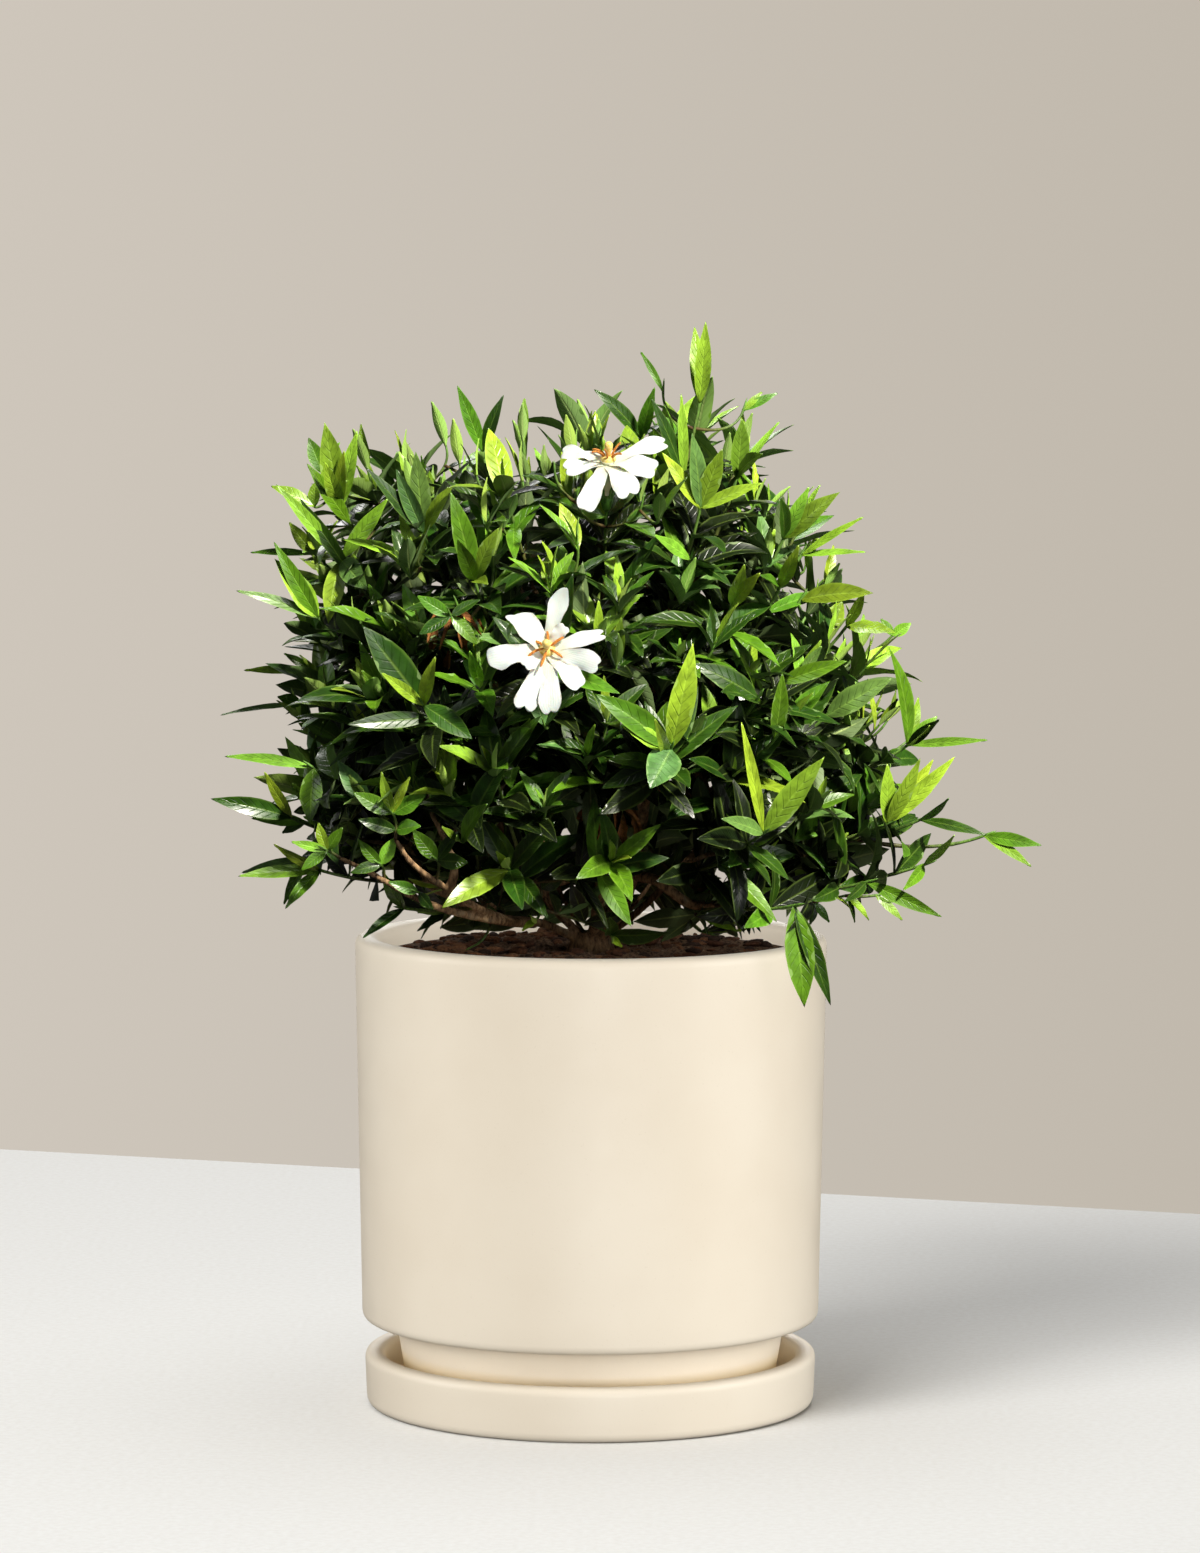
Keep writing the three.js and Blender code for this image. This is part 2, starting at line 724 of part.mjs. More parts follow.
// The rings' shoots, but for those that a front shoot already stands for.
function planRings(seenShoots) {
  const plans = [];
  const { turn, height: rise, inset, lean } = RING_STRAY;
  SHOOT_RINGS.forEach(([height, count], ring) => {
    for (let k = 0; k < count; k++) {
      const place = k + between(-turn, turn, ring, k, 1);
      const azimuth = ring * GOLDEN_ANGLE + (2 * Math.PI * place) / count;
      const z = height + between(-rise, rise, ring, k, 2);
      const r = reach(z, azimuth) - NODE_INSET - between(0, inset, ring, k, 3);
      const node = vec(r * Math.cos(azimuth), r * Math.sin(azimuth), z);
      const ahead = growth(node)
        .add(vec(...[4, 5, 6].map((key) => between(-lean, lean, ring, k, key))))
        .normalize();
      const taken = seenShoots.some(
        (s) =>
          node.y < s.node.y + CLEAR_OF_SEEN.behind &&
          Math.hypot(node.x - s.node.x, node.z - s.node.z) < CLEAR_OF_SEEN.aside,
      );
      if (!taken) plans.push({ node, ahead, azimuth, keys: [ring, k], leaves: [] });
    }
  });
  return plans;
}

// A leaf of a shoot that grows by the rule: four round the node, then four further down.
function planRuledLeaf(plan, number) {
  const [ring, k] = plan.keys;
  const draw = (low, high, key) => between(low, high, ring, k, number * 8 + key);
  const whorl = Math.floor(number / WHORL.sides);
  const side = number % WHORL.sides;
  const around = (2 * Math.PI * (side + 0.5)) / WHORL.sides + draw(-0.35, 0.35, 10);
  const tilt = radians(whorl === 0 ? draw(22, 50, 11) : draw(46, 74, 11));
  const across = squareTo(RING_START, plan.ahead);
  const out = across.applyAxisAngle(plan.ahead, around);
  const ahead = plan.ahead
    .clone()
    .multiplyScalar(Math.cos(tilt))
    .addScaledVector(out, Math.sin(tilt));
  const length = draw(RULED_LEAF.shortest, RULED_LEAF.longest, 12);
  return {
    whorl,
    side,
    ahead,
    face: plan.ahead.clone().addScaledVector(out, draw(-0.3, 0.1, 13)),
    length,
    width: length * draw(RULED_LEAF.slimmest, RULED_LEAF.broadest, 14),
    bend: draw(0.15, 0.75, 15),
  };
}

// ---------------------------------------------------------------- wood

const NEVER = 1000; // times dearer than any other way

// The woody skeleton: joints that know their parent and how many sprays they carry.
function growWood(bases) {
  const joint = (at, parent) => ({ at, parent, children: [], load: 0 });
  const heart = joint(vec(0, 0, SOIL.top + 4), null);
  const joints = [heart];
  const grow = (from, at) => {
    const next = joint(at, from);
    from.children.push(next);
    joints.push(next);
    return next;
  };
  const foot = SOIL.top + MAIN_STEM.footRise;
  for (let k = 0; k < MAIN_STEM.count; k++) {
    const azimuth = k * GOLDEN_ANGLE + MAIN_STEM.firstTurn;
    const top = MAIN_STEM.lowest + MAIN_STEM.rise * ((k * GOLDEN_SHARE) % 1);
    const wide = MAIN_STEM.spread * reach(top, azimuth);
    let last = heart;
    for (const share of MAIN_STEM.stations) {
      const r = wide * Math.pow(share, 0.8) + MAIN_STEM.footRadius;
      const turn = azimuth + MAIN_STEM.wander * Math.sin(3 * share + k);
      const z = lerp(foot, top, Math.pow(share, 1.1));
      last = grow(last, vec(r * Math.cos(turn), r * Math.sin(turn), z));
    }
  }
  let low = heart;
  for (const [right, height, depth] of LOW_BRANCH) low = grow(low, seenAt(right, height, depth));

  const fromHeart = (p) => p.distanceTo(heart.at);
  const trunk = joints.slice(1);
  const ends = [...bases].sort((a, b) => fromHeart(a.at) - fromHeart(b.at));
  for (const base of ends) {
    // The nearest joint that the base lies ahead of, and not back towards the heart.
    let [best, cost] = [null, Infinity];
    for (const j of [...trunk, ...joints.filter((x) => x.twig)]) {
      const step = base.at.clone().sub(j.at);
      const back = fromHeart(j.at) + MAIN_STEM.footRise > fromHeart(base.at);
      const lean = step.clone().normalize().dot(base.ahead);
      const price = back ? step.length() * NEVER : step.length() * (3 - lean);
      if (price < cost) [best, cost] = [j, price];
    }
    const span = base.at.distanceTo(best.at);
    const straight = Math.min(TWIG.step, span * TWIG.share);
    const before = base.at.clone().addScaledVector(base.ahead, -straight);
    let last = best;
    if (span > TWIG.step / TWIG.share) {
      last = grow(last, best.at.clone().lerp(before, 0.5).addScaledVector(UP, TWIG.sag));
      last.twig = true;
    }
    last = grow(last, before);
    last.twig = true;
    base.joint = grow(last, base.at);
  }
  for (const { joint: end } of ends) for (let j = end; j; j = j.parent) j.load++;
  return heart;
}

const THICK_LOAD = 3; // a branch with more sprays than this has one more side
const woodRadius = (joint) => TWIG.tipRadius * Math.pow(joint.load, TWIG.growth);

// Tubes along the skeleton, each from a fork to the end of its heaviest branch.
function woodTubes(heart) {
  const tubes = [];
  const follow = (from, first) => {
    const chain = [first];
    for (let j = first; j.children.length; ) {
      const used = j.children.filter((c) => c.load > 0).sort((a, b) => b.load - a.load);
      if (!used.length) break;
      used.slice(1).forEach((c) => follow(j, c));
      j = used[0];
      chain.push(j);
    }
    const radii = [woodRadius(first), ...chain.map(woodRadius)];
    const sides = first.load > THICK_LOAD ? 5 : 4;
    tubes.push(tube([from.at, ...chain.map((j) => j.at)], radii, sides));
  };
  heart.children.filter((c) => c.load > 0).forEach((c) => follow(heart, c));
  return tubes;
}

// ---------------------------------------------------------------- keeping pieces apart

const placed = []; // every solid that is already there, with its box and the node it is part of

function isClear(solid, owner) {
  const box = solid.boundingBox();
  return !placed.some((other) => {
    if (other.owner === owner) return false;
    for (let axis = 0; axis < 3; axis++) {
      if (box.min[axis] > other.box.max[axis] + GAP) return false;
      if (box.max[axis] < other.box.min[axis] - GAP) return false;
    }
    return solid.minGap(other.solid, GAP) < GAP * 0.9;
  });
}

function place(solid, owner) {
  placed.push({ solid, owner, box: solid.boundingBox() });
  return solid;
}

// The one body of fused pieces; a loose scrap is dropped.
function fuse(solids) {
  const whole = wasm.Manifold.union(solids).simplify(0.01);
  return whole.decompose().sort((a, b) => b.volume() - a.volume())[0];
}

// ---------------------------------------------------------------- sprays

const STEM_FOOT = 3; // left bare below the lowest whorl

// A green stem from start to a shoot's node, bowed aside by bow, with a pointed bud. It has a
// short stretch for each whorl of leaves, whose four faces the leaves grow from.
function greenStem(start, plan, bow) {
  const length = start.distanceTo(plan.node);
  const control = plan.node.clone().addScaledVector(plan.ahead, -0.45 * length).add(bow);
  const curve = new THREE.QuadraticBezierCurve3(start, control, plan.node);
  const whole = curve.getLength();
  const backs = [whole];
  const whorls = [];
  for (let w = WHORLS - 1; w >= 0; w--) {
    const upper = WHORL.top + w * WHORL.step;
    if (upper + WHORL.length > whole - STEM_FOOT) continue;
    if (backs.length === 1 && whole - upper > GREEN_STEM.longestStretch)
      backs.push((whole + upper) / 2);
    whorls[w] = backs.length;
    backs.push(upper + WHORL.length, upper);
  }
  const points = backs.map((back) => curve.getPointAt(1 - back / whole));
  const { baseRadius, nodeRadius, bud } = GREEN_STEM;
  const radii = backs.map((back) => lerp(nodeRadius, baseRadius, back / whole));
  const rings = ringsAlong(points, radii, WHORL.sides, squareTo(RING_START, plan.ahead));
  const tip = plan.node.clone().addScaledVector(plan.ahead, bud);
  return { rings, tip, whorls, curve, used: new Set(), solid: skin(rings, { tip }) };
}

// The stem's face that a leaf grows from, as a ring that starts where the leaf's own ring does.
function rootRing(stem, segment, side, next) {
  const turn = (side + 1) % WHORL.sides;
  const [low, high] = [stem.rings[segment], stem.rings[segment + 1]];
  const corners = [low[side], low[turn], high[turn], high[side]];
  const middle = (ring) => ring.reduce((sum, p) => sum.add(p), vec(0, 0, 0)).divideScalar(4);
  const [from, to] = [middle(corners), middle(next)];
  const match = (shift) =>
    next.reduce(
      (sum, p, i) => sum + p.clone().sub(to).dot(corners[(i + shift) % 4].clone().sub(from)),
      0,
    );
  const best = [0, 1, 2, 3].sort((a, b) => match(b) - match(a))[0];
  return corners.map((_, i) => corners[(i + best) % 4]);
}

// The middle of one of a whorl's faces, and the way it looks.
function faceOf(stem, segment, side) {
  const turn = (side + 1) % WHORL.sides;
  const [low, high] = [stem.rings[segment], stem.rings[segment + 1]];
  const middle = vec(0, 0, 0).add(low[side]).add(low[turn]).add(high[turn]).add(high[side]);
  middle.divideScalar(4);
  const out = low[turn].clone().sub(low[side]).cross(high[side].clone().sub(low[side]));
  return { middle, out: out.normalize() };
}

// Sideways bows that a stem tries in turn until it clears what is there.
function* bows(plan) {
  yield vec(0, 0, 0);
  const across = squareTo(RING_START, plan.ahead);
  for (const size of BOWS.sizes)
    for (let k = 0; k < BOWS.turns; k++) {
      const turn = (2 * Math.PI * k) / BOWS.turns + size;
      yield across.clone().applyAxisAngle(plan.ahead, turn).multiplyScalar(size);
    }
}

// A leaf on a face of its stem: its shell to weld, and the same as a solid to keep clear with.
// None where its root would twist through itself.
function leafOn(stem, segment, side, shape) {
  const outline = shape.length >= BIG_LEAF ? BIG_LEAF_OUTLINE : LEAF_OUTLINE;
  const { rings, tip } = bladeRings({ ...LEAF, ...shape, outline });
  const whole = [rootRing(stem, segment, side, rings[0]), ...rings];
  const options = { tip, mirrored: true };
  if (!isSound(shell(whole, options))) return null;
  return {
    key: segment * WHORL.sides + side,
    shell: shell(whole, { ...options, open: true }),
    solid: skin(whole, options),
  };
}

// The free face of a stem that looks most towards a direction, from the top whorl down.
function freeFace(stem, towards) {
  let best = null;
  stem.whorls.forEach((segment, whorl) => {
    for (let side = 0; side < WHORL.sides; side++) {
      if (stem.used.has(segment * WHORL.sides + side)) continue;
      const { middle, out } = faceOf(stem, segment, side);
      const score = out.dot(towards) - 0.9 * whorl;
      if (!best || score > best.score) best = { segment, side, middle, score };
    }
  });
  return best;
}

// A seen leaf, with its tip moved in depth by shift to clear its neighbours.
function seenLeaf(plan, { tip, width }, shift) {
  const target = tip.clone().add(vec(0, shift, 0));
  const at = freeFace(plan.stem, target.clone().sub(plan.node).normalize());
  if (!at) return null;
  const towards = target.sub(at.middle);
  const length = towards.length();
  const ahead = towards.normalize();
  const { bend } = SEEN_LEAF;
  const face = squareTo(plan.ahead.clone().multiplyScalar(0.55).add(TO_EYE), ahead);
  const raised = ahead.clone().addScaledVector(face, bend / 2).normalize();
  const shape = { root: at.middle, ahead: raised, face, length, width, bend };
  return leafOn(plan.stem, at.segment, at.side, shape);
}

// A ruled leaf, turned about its stem by turn to clear its neighbours.
function ruledLeaf(plan, number, turn) {
  const { whorl, side, ...shape } = planRuledLeaf(plan, number);
  const segment = plan.stem.whorls[whorl];
  if (segment === undefined) return null;
  const { middle } = faceOf(plan.stem, segment, side);
  shape.root = middle;
  shape.ahead.applyAxisAngle(plan.ahead, turn);
  shape.face.applyAxisAngle(plan.ahead, turn);
  return leafOn(plan.stem, segment, side, shape);
}

// Gives a shoot the first of several tries at a leaf that crosses nothing.
function addLeaf(plan, tries, make, owner, spray) {
  for (const attempt of tries) {
    const made = make(attempt);
    if (!made) continue;
    const crosses = spray.some((other) => made.solid.intersect(other).volume() > CROSSING);
    if (crosses || !isClear(made.solid, owner)) continue;
    spray.push(place(made.solid, owner));
    plan.stem.used.add(made.key);
    plan.shells.push(made.shell);
    return true;
  }
  return false;
}

// A shoot's stem and leaves in one skin.
function shootSolid({ stem, shells }) {
  const skip = (ring, side) => stem.used.has(ring * WHORL.sides + side);
  return weld([shell(stem.rings, { tip: stem.tip, skip }), ...shells]);
}

const CROSSING = 1e-6; // mm3 that two pieces of a spray may share at most
const BOWS = { sizes: [7, 13, 20], turns: 6 };
const SEEN_SHIFTS = [0, -5, 5, -10, 10, -16, 16, -23, 23, -30, 30];
const RULED_TURNS = [0, 0.3, -0.3, 0.6, -0.6];

// One spray: its shoots' stems, forking from the first, and as many leaves as find room.
function makeSpray(name, plans, base, ruledLeaves) {
  const start = base.at.clone().addScaledVector(base.ahead, GAP * 2);
  const spray = [];
  let leader = null;
  for (const plan of plans) {
    const from = leader ? leader.curve.getPointAt(GREEN_STEM.fork) : start;
    for (const bow of bows(plan)) {
      const stem = greenStem(from, plan, bow);
      if (!isClear(stem.solid, name)) continue;
      spray.push(place(stem.solid, name));
      leader ??= stem;
      plan.stem = stem;
      plan.shells = [];
      break;
    }
  }
  for (const plan of plans) {
    if (!plan.stem) continue;
    plan.leaves.forEach((seen) => {
      const make = (shift) => seenLeaf(plan, seen, shift);
      addLeaf(plan, SEEN_SHIFTS, make, name, spray);
    });
    for (let n = 0; plan.keys && n < ruledLeaves; n++) {
      const make = (turn) => ruledLeaf(plan, n, turn);
      addLeaf(plan, RULED_TURNS, make, name, spray);
    }
  }
  const grown = plans.filter((plan) => plan.stem);
  return grown.length ? fuse(grown.map(shootSolid)) : null;
}

// ---------------------------------------------------------------- flowers

// The flower's own frame: where its tube opens, the way it faces, its right and its top.
function bloomFrame({ right, height, depth, facing }) {
  const mouth = seenAt(right, height, depth);
  const axis = vec(...facing).normalize();
  const across = squareTo(vec(1, 0, 0), axis);
  const top = axis.clone().cross(across);
  const foot = mouth.clone().addScaledVector(axis, -TUBE.length);
  return { mouth, axis, across, top, foot };
}

function makeCorolla(bloom) {
  const { mouth, axis, across, top, foot } = bloomFrame(bloom);
  const throat = mouth.clone().addScaledVector(axis, -6);
  const pieces = [
    tube(
      [foot, throat, mouth],
      [TUBE.baseRadius, TUBE.baseRadius * 1.2, TUBE.mouthRadius],
      TUBE.sides,
    ),
  ];
  bloom.petals.forEach(({ angle, length, width, lift, curl }, i) => {
    const turn = radians(angle);
    const out = across.clone().multiplyScalar(Math.cos(turn)).addScaledVector(top, Math.sin(turn));
    const rise = radians(lift);
    const ahead = out.clone().multiplyScalar(Math.cos(rise)).addScaledVector(axis, Math.sin(rise));
    const root = mouth.clone().addScaledVector(axis, -1.6 + 0.5 * (i % 2));
    pieces.push(
      blade({
        root,
        ahead,
        face: axis,
        length,
        width,
        bend: curl,
        fold: 0.12,
        thickness: PETAL_THICKNESS,
        outline: PETAL_OUTLINE,
      }),
    );
  });
  return fuse(pieces);
}

// The stigma's club with the anthers spread round its foot, just clear of the corolla.
function makeHeart(bloom, corolla) {
  const { mouth, axis, across, top } = bloomFrame(bloom);
  const lifted = mouth.clone().addScaledVector(axis, 1.6);
  const rise = radians(HEART.rise);
  const tip = lifted.clone().addScaledVector(axis, HEART.stigma);
  const neck = lifted.clone().addScaledVector(axis, HEART.stigma * 0.6);
  const pieces = [
    tube([lifted, neck], [HEART.stigmaRadius * 0.75, HEART.stigmaRadius], 6, tip),
  ];
  for (let k = 0; k < HEART.anthers; k++) {
    const turn = (2 * Math.PI * (k + 0.4)) / HEART.anthers;
    const out = across.clone().multiplyScalar(Math.cos(turn)).addScaledVector(top, Math.sin(turn));
    pieces.push(
      blade({
        root: lifted.clone().addScaledVector(axis, 1),
        ahead: out.multiplyScalar(Math.cos(rise)).addScaledVector(axis, Math.sin(rise)),
        face: axis,
        length: HEART.anther,
        width: HEART.antherWidth,
        bend: 0.1,
        fold: 0,
        thickness: 0.8,
        outline: ANTHER_OUTLINE,
      }),
    );
  }
  const step = axis.clone().multiplyScalar(GAP).toArray();
  let heart = fuse(pieces);
  while (heart.minGap(corolla, GAP * 2) < GAP) heart = heart.translate(step);
  return heart;
}

// The leafy shoot that a flower ends, described as a front shoot is.
function bloomShoot(bloom, leaves) {
  const { foot, axis } = bloomFrame(bloom);
  const node = foot.clone().addScaledVector(axis, -(GREEN_STEM.bud + GAP));
  const plan = { node, ahead: axis, leaves: [], seen: true };
  for (const { right, up, width, tone, depth } of leaves) {
    const scale = (EYE.distance + node.y) / EYE.distance;
    const tip = node.clone().add(vec(right * scale, depth ?? -10, up * scale));
    plan.leaves.push({ tip, width, tone });
  }
  return plan;
}

const FRONT_BLOOM_LEAVES = [
  leaf(8, 42, 9, "dark", -14),
  leaf(30, -8, 8, "mid", -12),
  leaf(-24, -20, 8, "dark", -10),
];
const TOP_BLOOM_LEAVES = [
  leaf(-30, 4, 8, "mid", -6),
  leaf(22, 22, 7, "dark", 12),
  leaf(-14, 26, 6, "lime", 14),
];

// ---------------------------------------------------------------- the whole plant

// Where a spray leaves its woody twig: some way back from its first shoot's node.
function sprayBase(plans) {
  const [first] = plans;
  const { back, share, climb, follow, rise } = SPRAY_BASE;
  const inward = vec(-first.node.x, -first.node.y, (HEART_HEIGHT - first.node.z) * climb);
  const span = Math.min(back, inward.length() * share);
  const direction = inward.normalize().addScaledVector(first.ahead, -follow).normalize();
  const at = first.node.clone().addScaledVector(direction, span);
  at.z = Math.max(at.z, SOIL.top + rise);
  return { at, ahead: first.node.clone().sub(at).normalize() };
}

// Ring shoots in groups of neighbours, each group a spray.
function groupRings(plans) {
  const groups = [];
  const left = [...plans];
  while (left.length) {
    const first = left.shift();
    const nearest = left
      .filter((p) => p.node.distanceTo(first.node) < SPRAY.spread)
      .sort((a, b) => a.node.distanceTo(first.node) - b.node.distanceTo(first.node))
      .slice(0, SPRAY.shoots - 1);
    nearest.forEach((p) => left.splice(left.indexOf(p), 1));
    groups.push([first, ...nearest]);
  }
  return groups;
}

const nodeMesh = (name, solid, material) => {
  const mesh = new THREE.Mesh(geometryOf(solid), material);
  mesh.name = name;
  return mesh;
};

const material = (color, roughness, metalness = 0) =>
  new THREE.MeshStandardMaterial({ color, roughness, metalness });

const number = (n) => String(n + 1).padStart(2, "0");

function makePlant() {
  const sprays = [];
  const add = (name, plans, tone, ruledLeaves) =>
    sprays.push({ name, plans, tone, ruledLeaves, base: sprayBase(plans) });
  add("spray_front_bloom", [bloomShoot(FRONT_BLOOM, FRONT_BLOOM_LEAVES)], "dark", 0);
  add("spray_top_bloom", [bloomShoot(TOP_BLOOM, TOP_BLOOM_LEAVES)], "mid", 0);
  FRONT_SPRAYS.forEach((shoots, i) => {
    const plans = shoots.map(planSeenShoot);
    add(`spray_front_${number(i)}`, plans, shoots[0].leaves[0].tone, 0);
  });
  WITHERED.forEach((shoots, i) => {
    add(`withered_leaves_${number(i)}`, shoots.map(planSeenShoot), "brown", 0);
  });
  const seen = sprays.flatMap((s) => s.plans);
  groupRings(planRings(seen)).forEach((plans, i) => {
    add(`spray_round_${number(i)}`, plans, i % 3 ? "dark" : "mid", RULED_LEAVES);
  });

  const wood = fuse([crownSolid(0), ...woodTubes(growWood(sprays.map((s) => s.base)))]);
  place(wood, "woody_stems");
  const group = new THREE.Group();
  group.add(nodeMesh("woody_stems", wood, material("#6b4a33", 0.85)));

  for (const bloom of [FRONT_BLOOM, TOP_BLOOM]) {
    const corolla = place(makeCorolla(bloom), `${bloom.name}_petals`);
    const heart = place(makeHeart(bloom, corolla), `${bloom.name}_heart`);
    group.add(nodeMesh(`${bloom.name}_petals`, corolla, material("#f7f3e8", 0.6)));
    group.add(nodeMesh(`${bloom.name}_heart`, heart, material("#d9962e", 0.6)));
  }
  for (const { name, plans, base, tone, ruledLeaves } of sprays) {
    const solid = makeSpray(name, plans, base, ruledLeaves);
    if (solid) group.add(nodeMesh(name, solid, material(TONES[tone], 0.45)));
  }
  return group;
}

const ceramic = () => material("#ede0c4", 0.55);
const saucer = place(makeSaucer(), "saucer");
const pot = place(makePot(), "pot");
const soil = place(makeSoil(crownSolid(GAP)), "soil");

const gardenia = new THREE.Group();
gardenia.name = "potted_gardenia";
gardenia.add(nodeMesh("saucer", saucer, ceramic()));
gardenia.add(nodeMesh("pot", pot, ceramic()));
gardenia.add(nodeMesh("soil", soil, material("#3f2c20", 0.95)));
gardenia.add(makePlant());

export default gardenia;
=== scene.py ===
# A potted gardenia in its finished look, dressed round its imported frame. Shapes are worked out in
# millimetres, and meshes are made in metres, +Z up. The plant's front looks along -Y.
import json
import math

import bpy
import numpy as np
from mathutils import Matrix, Vector, noise

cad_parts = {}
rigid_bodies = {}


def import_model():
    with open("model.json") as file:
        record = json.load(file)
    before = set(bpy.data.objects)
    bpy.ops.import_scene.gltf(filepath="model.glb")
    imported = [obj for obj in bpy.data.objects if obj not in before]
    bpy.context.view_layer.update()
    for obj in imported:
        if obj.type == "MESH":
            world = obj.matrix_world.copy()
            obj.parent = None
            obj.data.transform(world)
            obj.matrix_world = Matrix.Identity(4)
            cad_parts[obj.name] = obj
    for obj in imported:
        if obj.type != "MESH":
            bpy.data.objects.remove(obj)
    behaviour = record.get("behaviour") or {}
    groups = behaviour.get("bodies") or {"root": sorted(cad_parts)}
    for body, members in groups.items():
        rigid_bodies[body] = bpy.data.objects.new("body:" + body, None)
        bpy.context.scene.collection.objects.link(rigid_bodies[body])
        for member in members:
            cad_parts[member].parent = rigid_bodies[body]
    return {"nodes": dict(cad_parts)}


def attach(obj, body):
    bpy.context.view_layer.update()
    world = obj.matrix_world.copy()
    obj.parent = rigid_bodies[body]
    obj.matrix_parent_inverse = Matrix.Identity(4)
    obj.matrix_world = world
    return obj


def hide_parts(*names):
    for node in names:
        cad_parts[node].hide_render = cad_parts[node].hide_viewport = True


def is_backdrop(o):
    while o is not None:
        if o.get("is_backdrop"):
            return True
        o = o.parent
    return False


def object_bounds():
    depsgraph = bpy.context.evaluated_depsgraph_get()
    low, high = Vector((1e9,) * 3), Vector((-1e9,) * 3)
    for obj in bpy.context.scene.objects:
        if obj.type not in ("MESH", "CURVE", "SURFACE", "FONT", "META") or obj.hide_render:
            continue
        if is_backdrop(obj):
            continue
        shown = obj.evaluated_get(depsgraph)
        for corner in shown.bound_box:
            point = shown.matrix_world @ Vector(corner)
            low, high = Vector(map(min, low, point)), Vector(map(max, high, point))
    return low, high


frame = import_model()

cad_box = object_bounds()

# ---------------------------------------------------------------- driving values, in millimetres

MM = 0.001  # metres
SEED = 20407  # of every random draw, as in the part
GAP = 0.3  # left between pieces that touch

SAUCER = dict(radius=96, height=23, wall=8.5, floor=7.3, lip_round=4, base_round=4, draft=1)
POT = dict(
    height=200, rim_radius=100, base_radius=97, body_bottom=36.5, wall=10, lip_round=4.5,
    edge_round=4, foot_top_radius=83, foot_base_radius=78, floor=11.5, recess=2,
    recess_radius=66, drain_radius=8.5, undercut=1, bevel=2, inner_slope=8,
)
# Lumps and crumbs are pairs of a size and a height.
SOIL = dict(
    top=191, mound=2, gap=GAP + 0.1, lumps=[(17, 2), (6.5, 1.5)], crumbs=[(2.6, 1.6), (1.3, 0.5)]
)
# A chip's width and thickness are shares of its length, and raised is a share of its thickness.
CHIPS = dict(
    count=420, spread=86, length=(1.6, 5.2), width=(0.45, 0.8), thick=(0.22, 0.4), raised=0.4,
    jagged=(0.72, 1.18), tones=("#4a2c1c", "#5d3a25", "#33221a", "#6d4a31"),
)
LATHE_SEGMENTS = 240

# The bush's half widths at several heights, left (-X) and right (+X) of the pot's axis.
LEFT_REACH = [
    (205, 88), (230, 120), (260, 136), (330, 130), (380, 124), (400, 108), (416, 62), (430, 10),
]
RIGHT_REACH = [
    (205, 84), (230, 122), (260, 140), (290, 142), (330, 125), (380, 98), (405, 78), (430, 30),
]
DEPTH_SHARE = 0.9  # of the half widths, fore and aft
HEART_HEIGHT = 232  # of the point that the shoots grow away from
UPWARDS = 0.35  # share that they turn up on the way
EXTRA_UPWARDS = 0.35  # and the raised ones once more
# Leaves may reach past the half widths by the slack and the lumps, which start at a depth and are
# full after their fade, and no higher than the top.
OUTLINE = dict(slack=5, lump_size=34, lump_height=26, lump_start=-40, lump_fade=60, top=432)
POT_ROOM = dict(inside=5, above_soil=5, above_lip=2, outside=3)  # kept free of leaves

# Where no finer shoots stand: low in the middle, where stems show, and before the lowest rings.
LOW_WINDOW = dict(middle=12, half=62, front=-20, top=262)
LOW_FRONT = dict(middle=0, half=math.inf, front=-52, top=math.inf)


def rings(layer, inset, pairs, shift=0.0, aside=0, behind=0, window=None, **marks):
    """Rings of shoots, each a height and a count, with their nodes so far inside the outline. No
    node stands in the window, or within aside of a listed shoot and not well behind it."""
    return dict(
        layer=layer, inset=inset, pairs=pairs, shift=shift, aside=aside, behind=behind,
        window=window, marks=marks,
    )


SHOOT_RINGS = rings(
    0, 17, [(236, 13), (268, 13), (302, 13), (338, 13), (370, 11), (394, 8), (408, 4)],
    aside=21, behind=25,
)
# Shoots beyond those of the solids. Raised ones grow more upwards, shaded ones have dark tones
# as painted shade, small ones have small leaves, and loose ones may stand out of the outline away
# from the front.
FINER_RINGS = [
    rings(20, 24, [(228, 16), (250, 20), (285, 20), (318, 20), (352, 18), (382, 14), (400, 6)],
          shift=0.5, aside=13, behind=14, window=LOW_WINDOW, raised=True),
    rings(40, 52, [(222, 9), (238, 12), (256, 14), (282, 14), (312, 14), (345, 12), (375, 7)],
          window=LOW_WINDOW, raised=True, shaded=True),
    rings(60, 13, [(262, 17), (294, 19), (322, 20), (350, 18), (376, 16), (396, 10)],
          shift=0.25, aside=11, behind=12, window=LOW_WINDOW, raised=True, small=True),
    rings(80, 30, [(204, 9), (215, 12), (228, 14)], window=LOW_FRONT, small=True, shaded=True),
    rings(140, 3, [(240, 5), (275, 5), (310, 6), (345, 6), (376, 7), (398, 5)],
          shift=0.4, aside=30, behind=90, loose=True),
    rings(120, 86, [(270, 6), (295, 7), (320, 7), (345, 7), (368, 6)], shaded=True),
    rings(100, 48, [(388, 11), (398, 9)], aside=9, behind=10),
    rings(110, 74, [(392, 6), (398, 4)], aside=9, behind=10),
]
RING_STRAY = dict(turn=0.22, height=9, inset=7, lean=0.16)
SPRAY = dict(shoots=4, spread=70)
SPRAY_BASE = dict(back=44, share=0.45, climb=0.75, follow=0.9, rise=24)

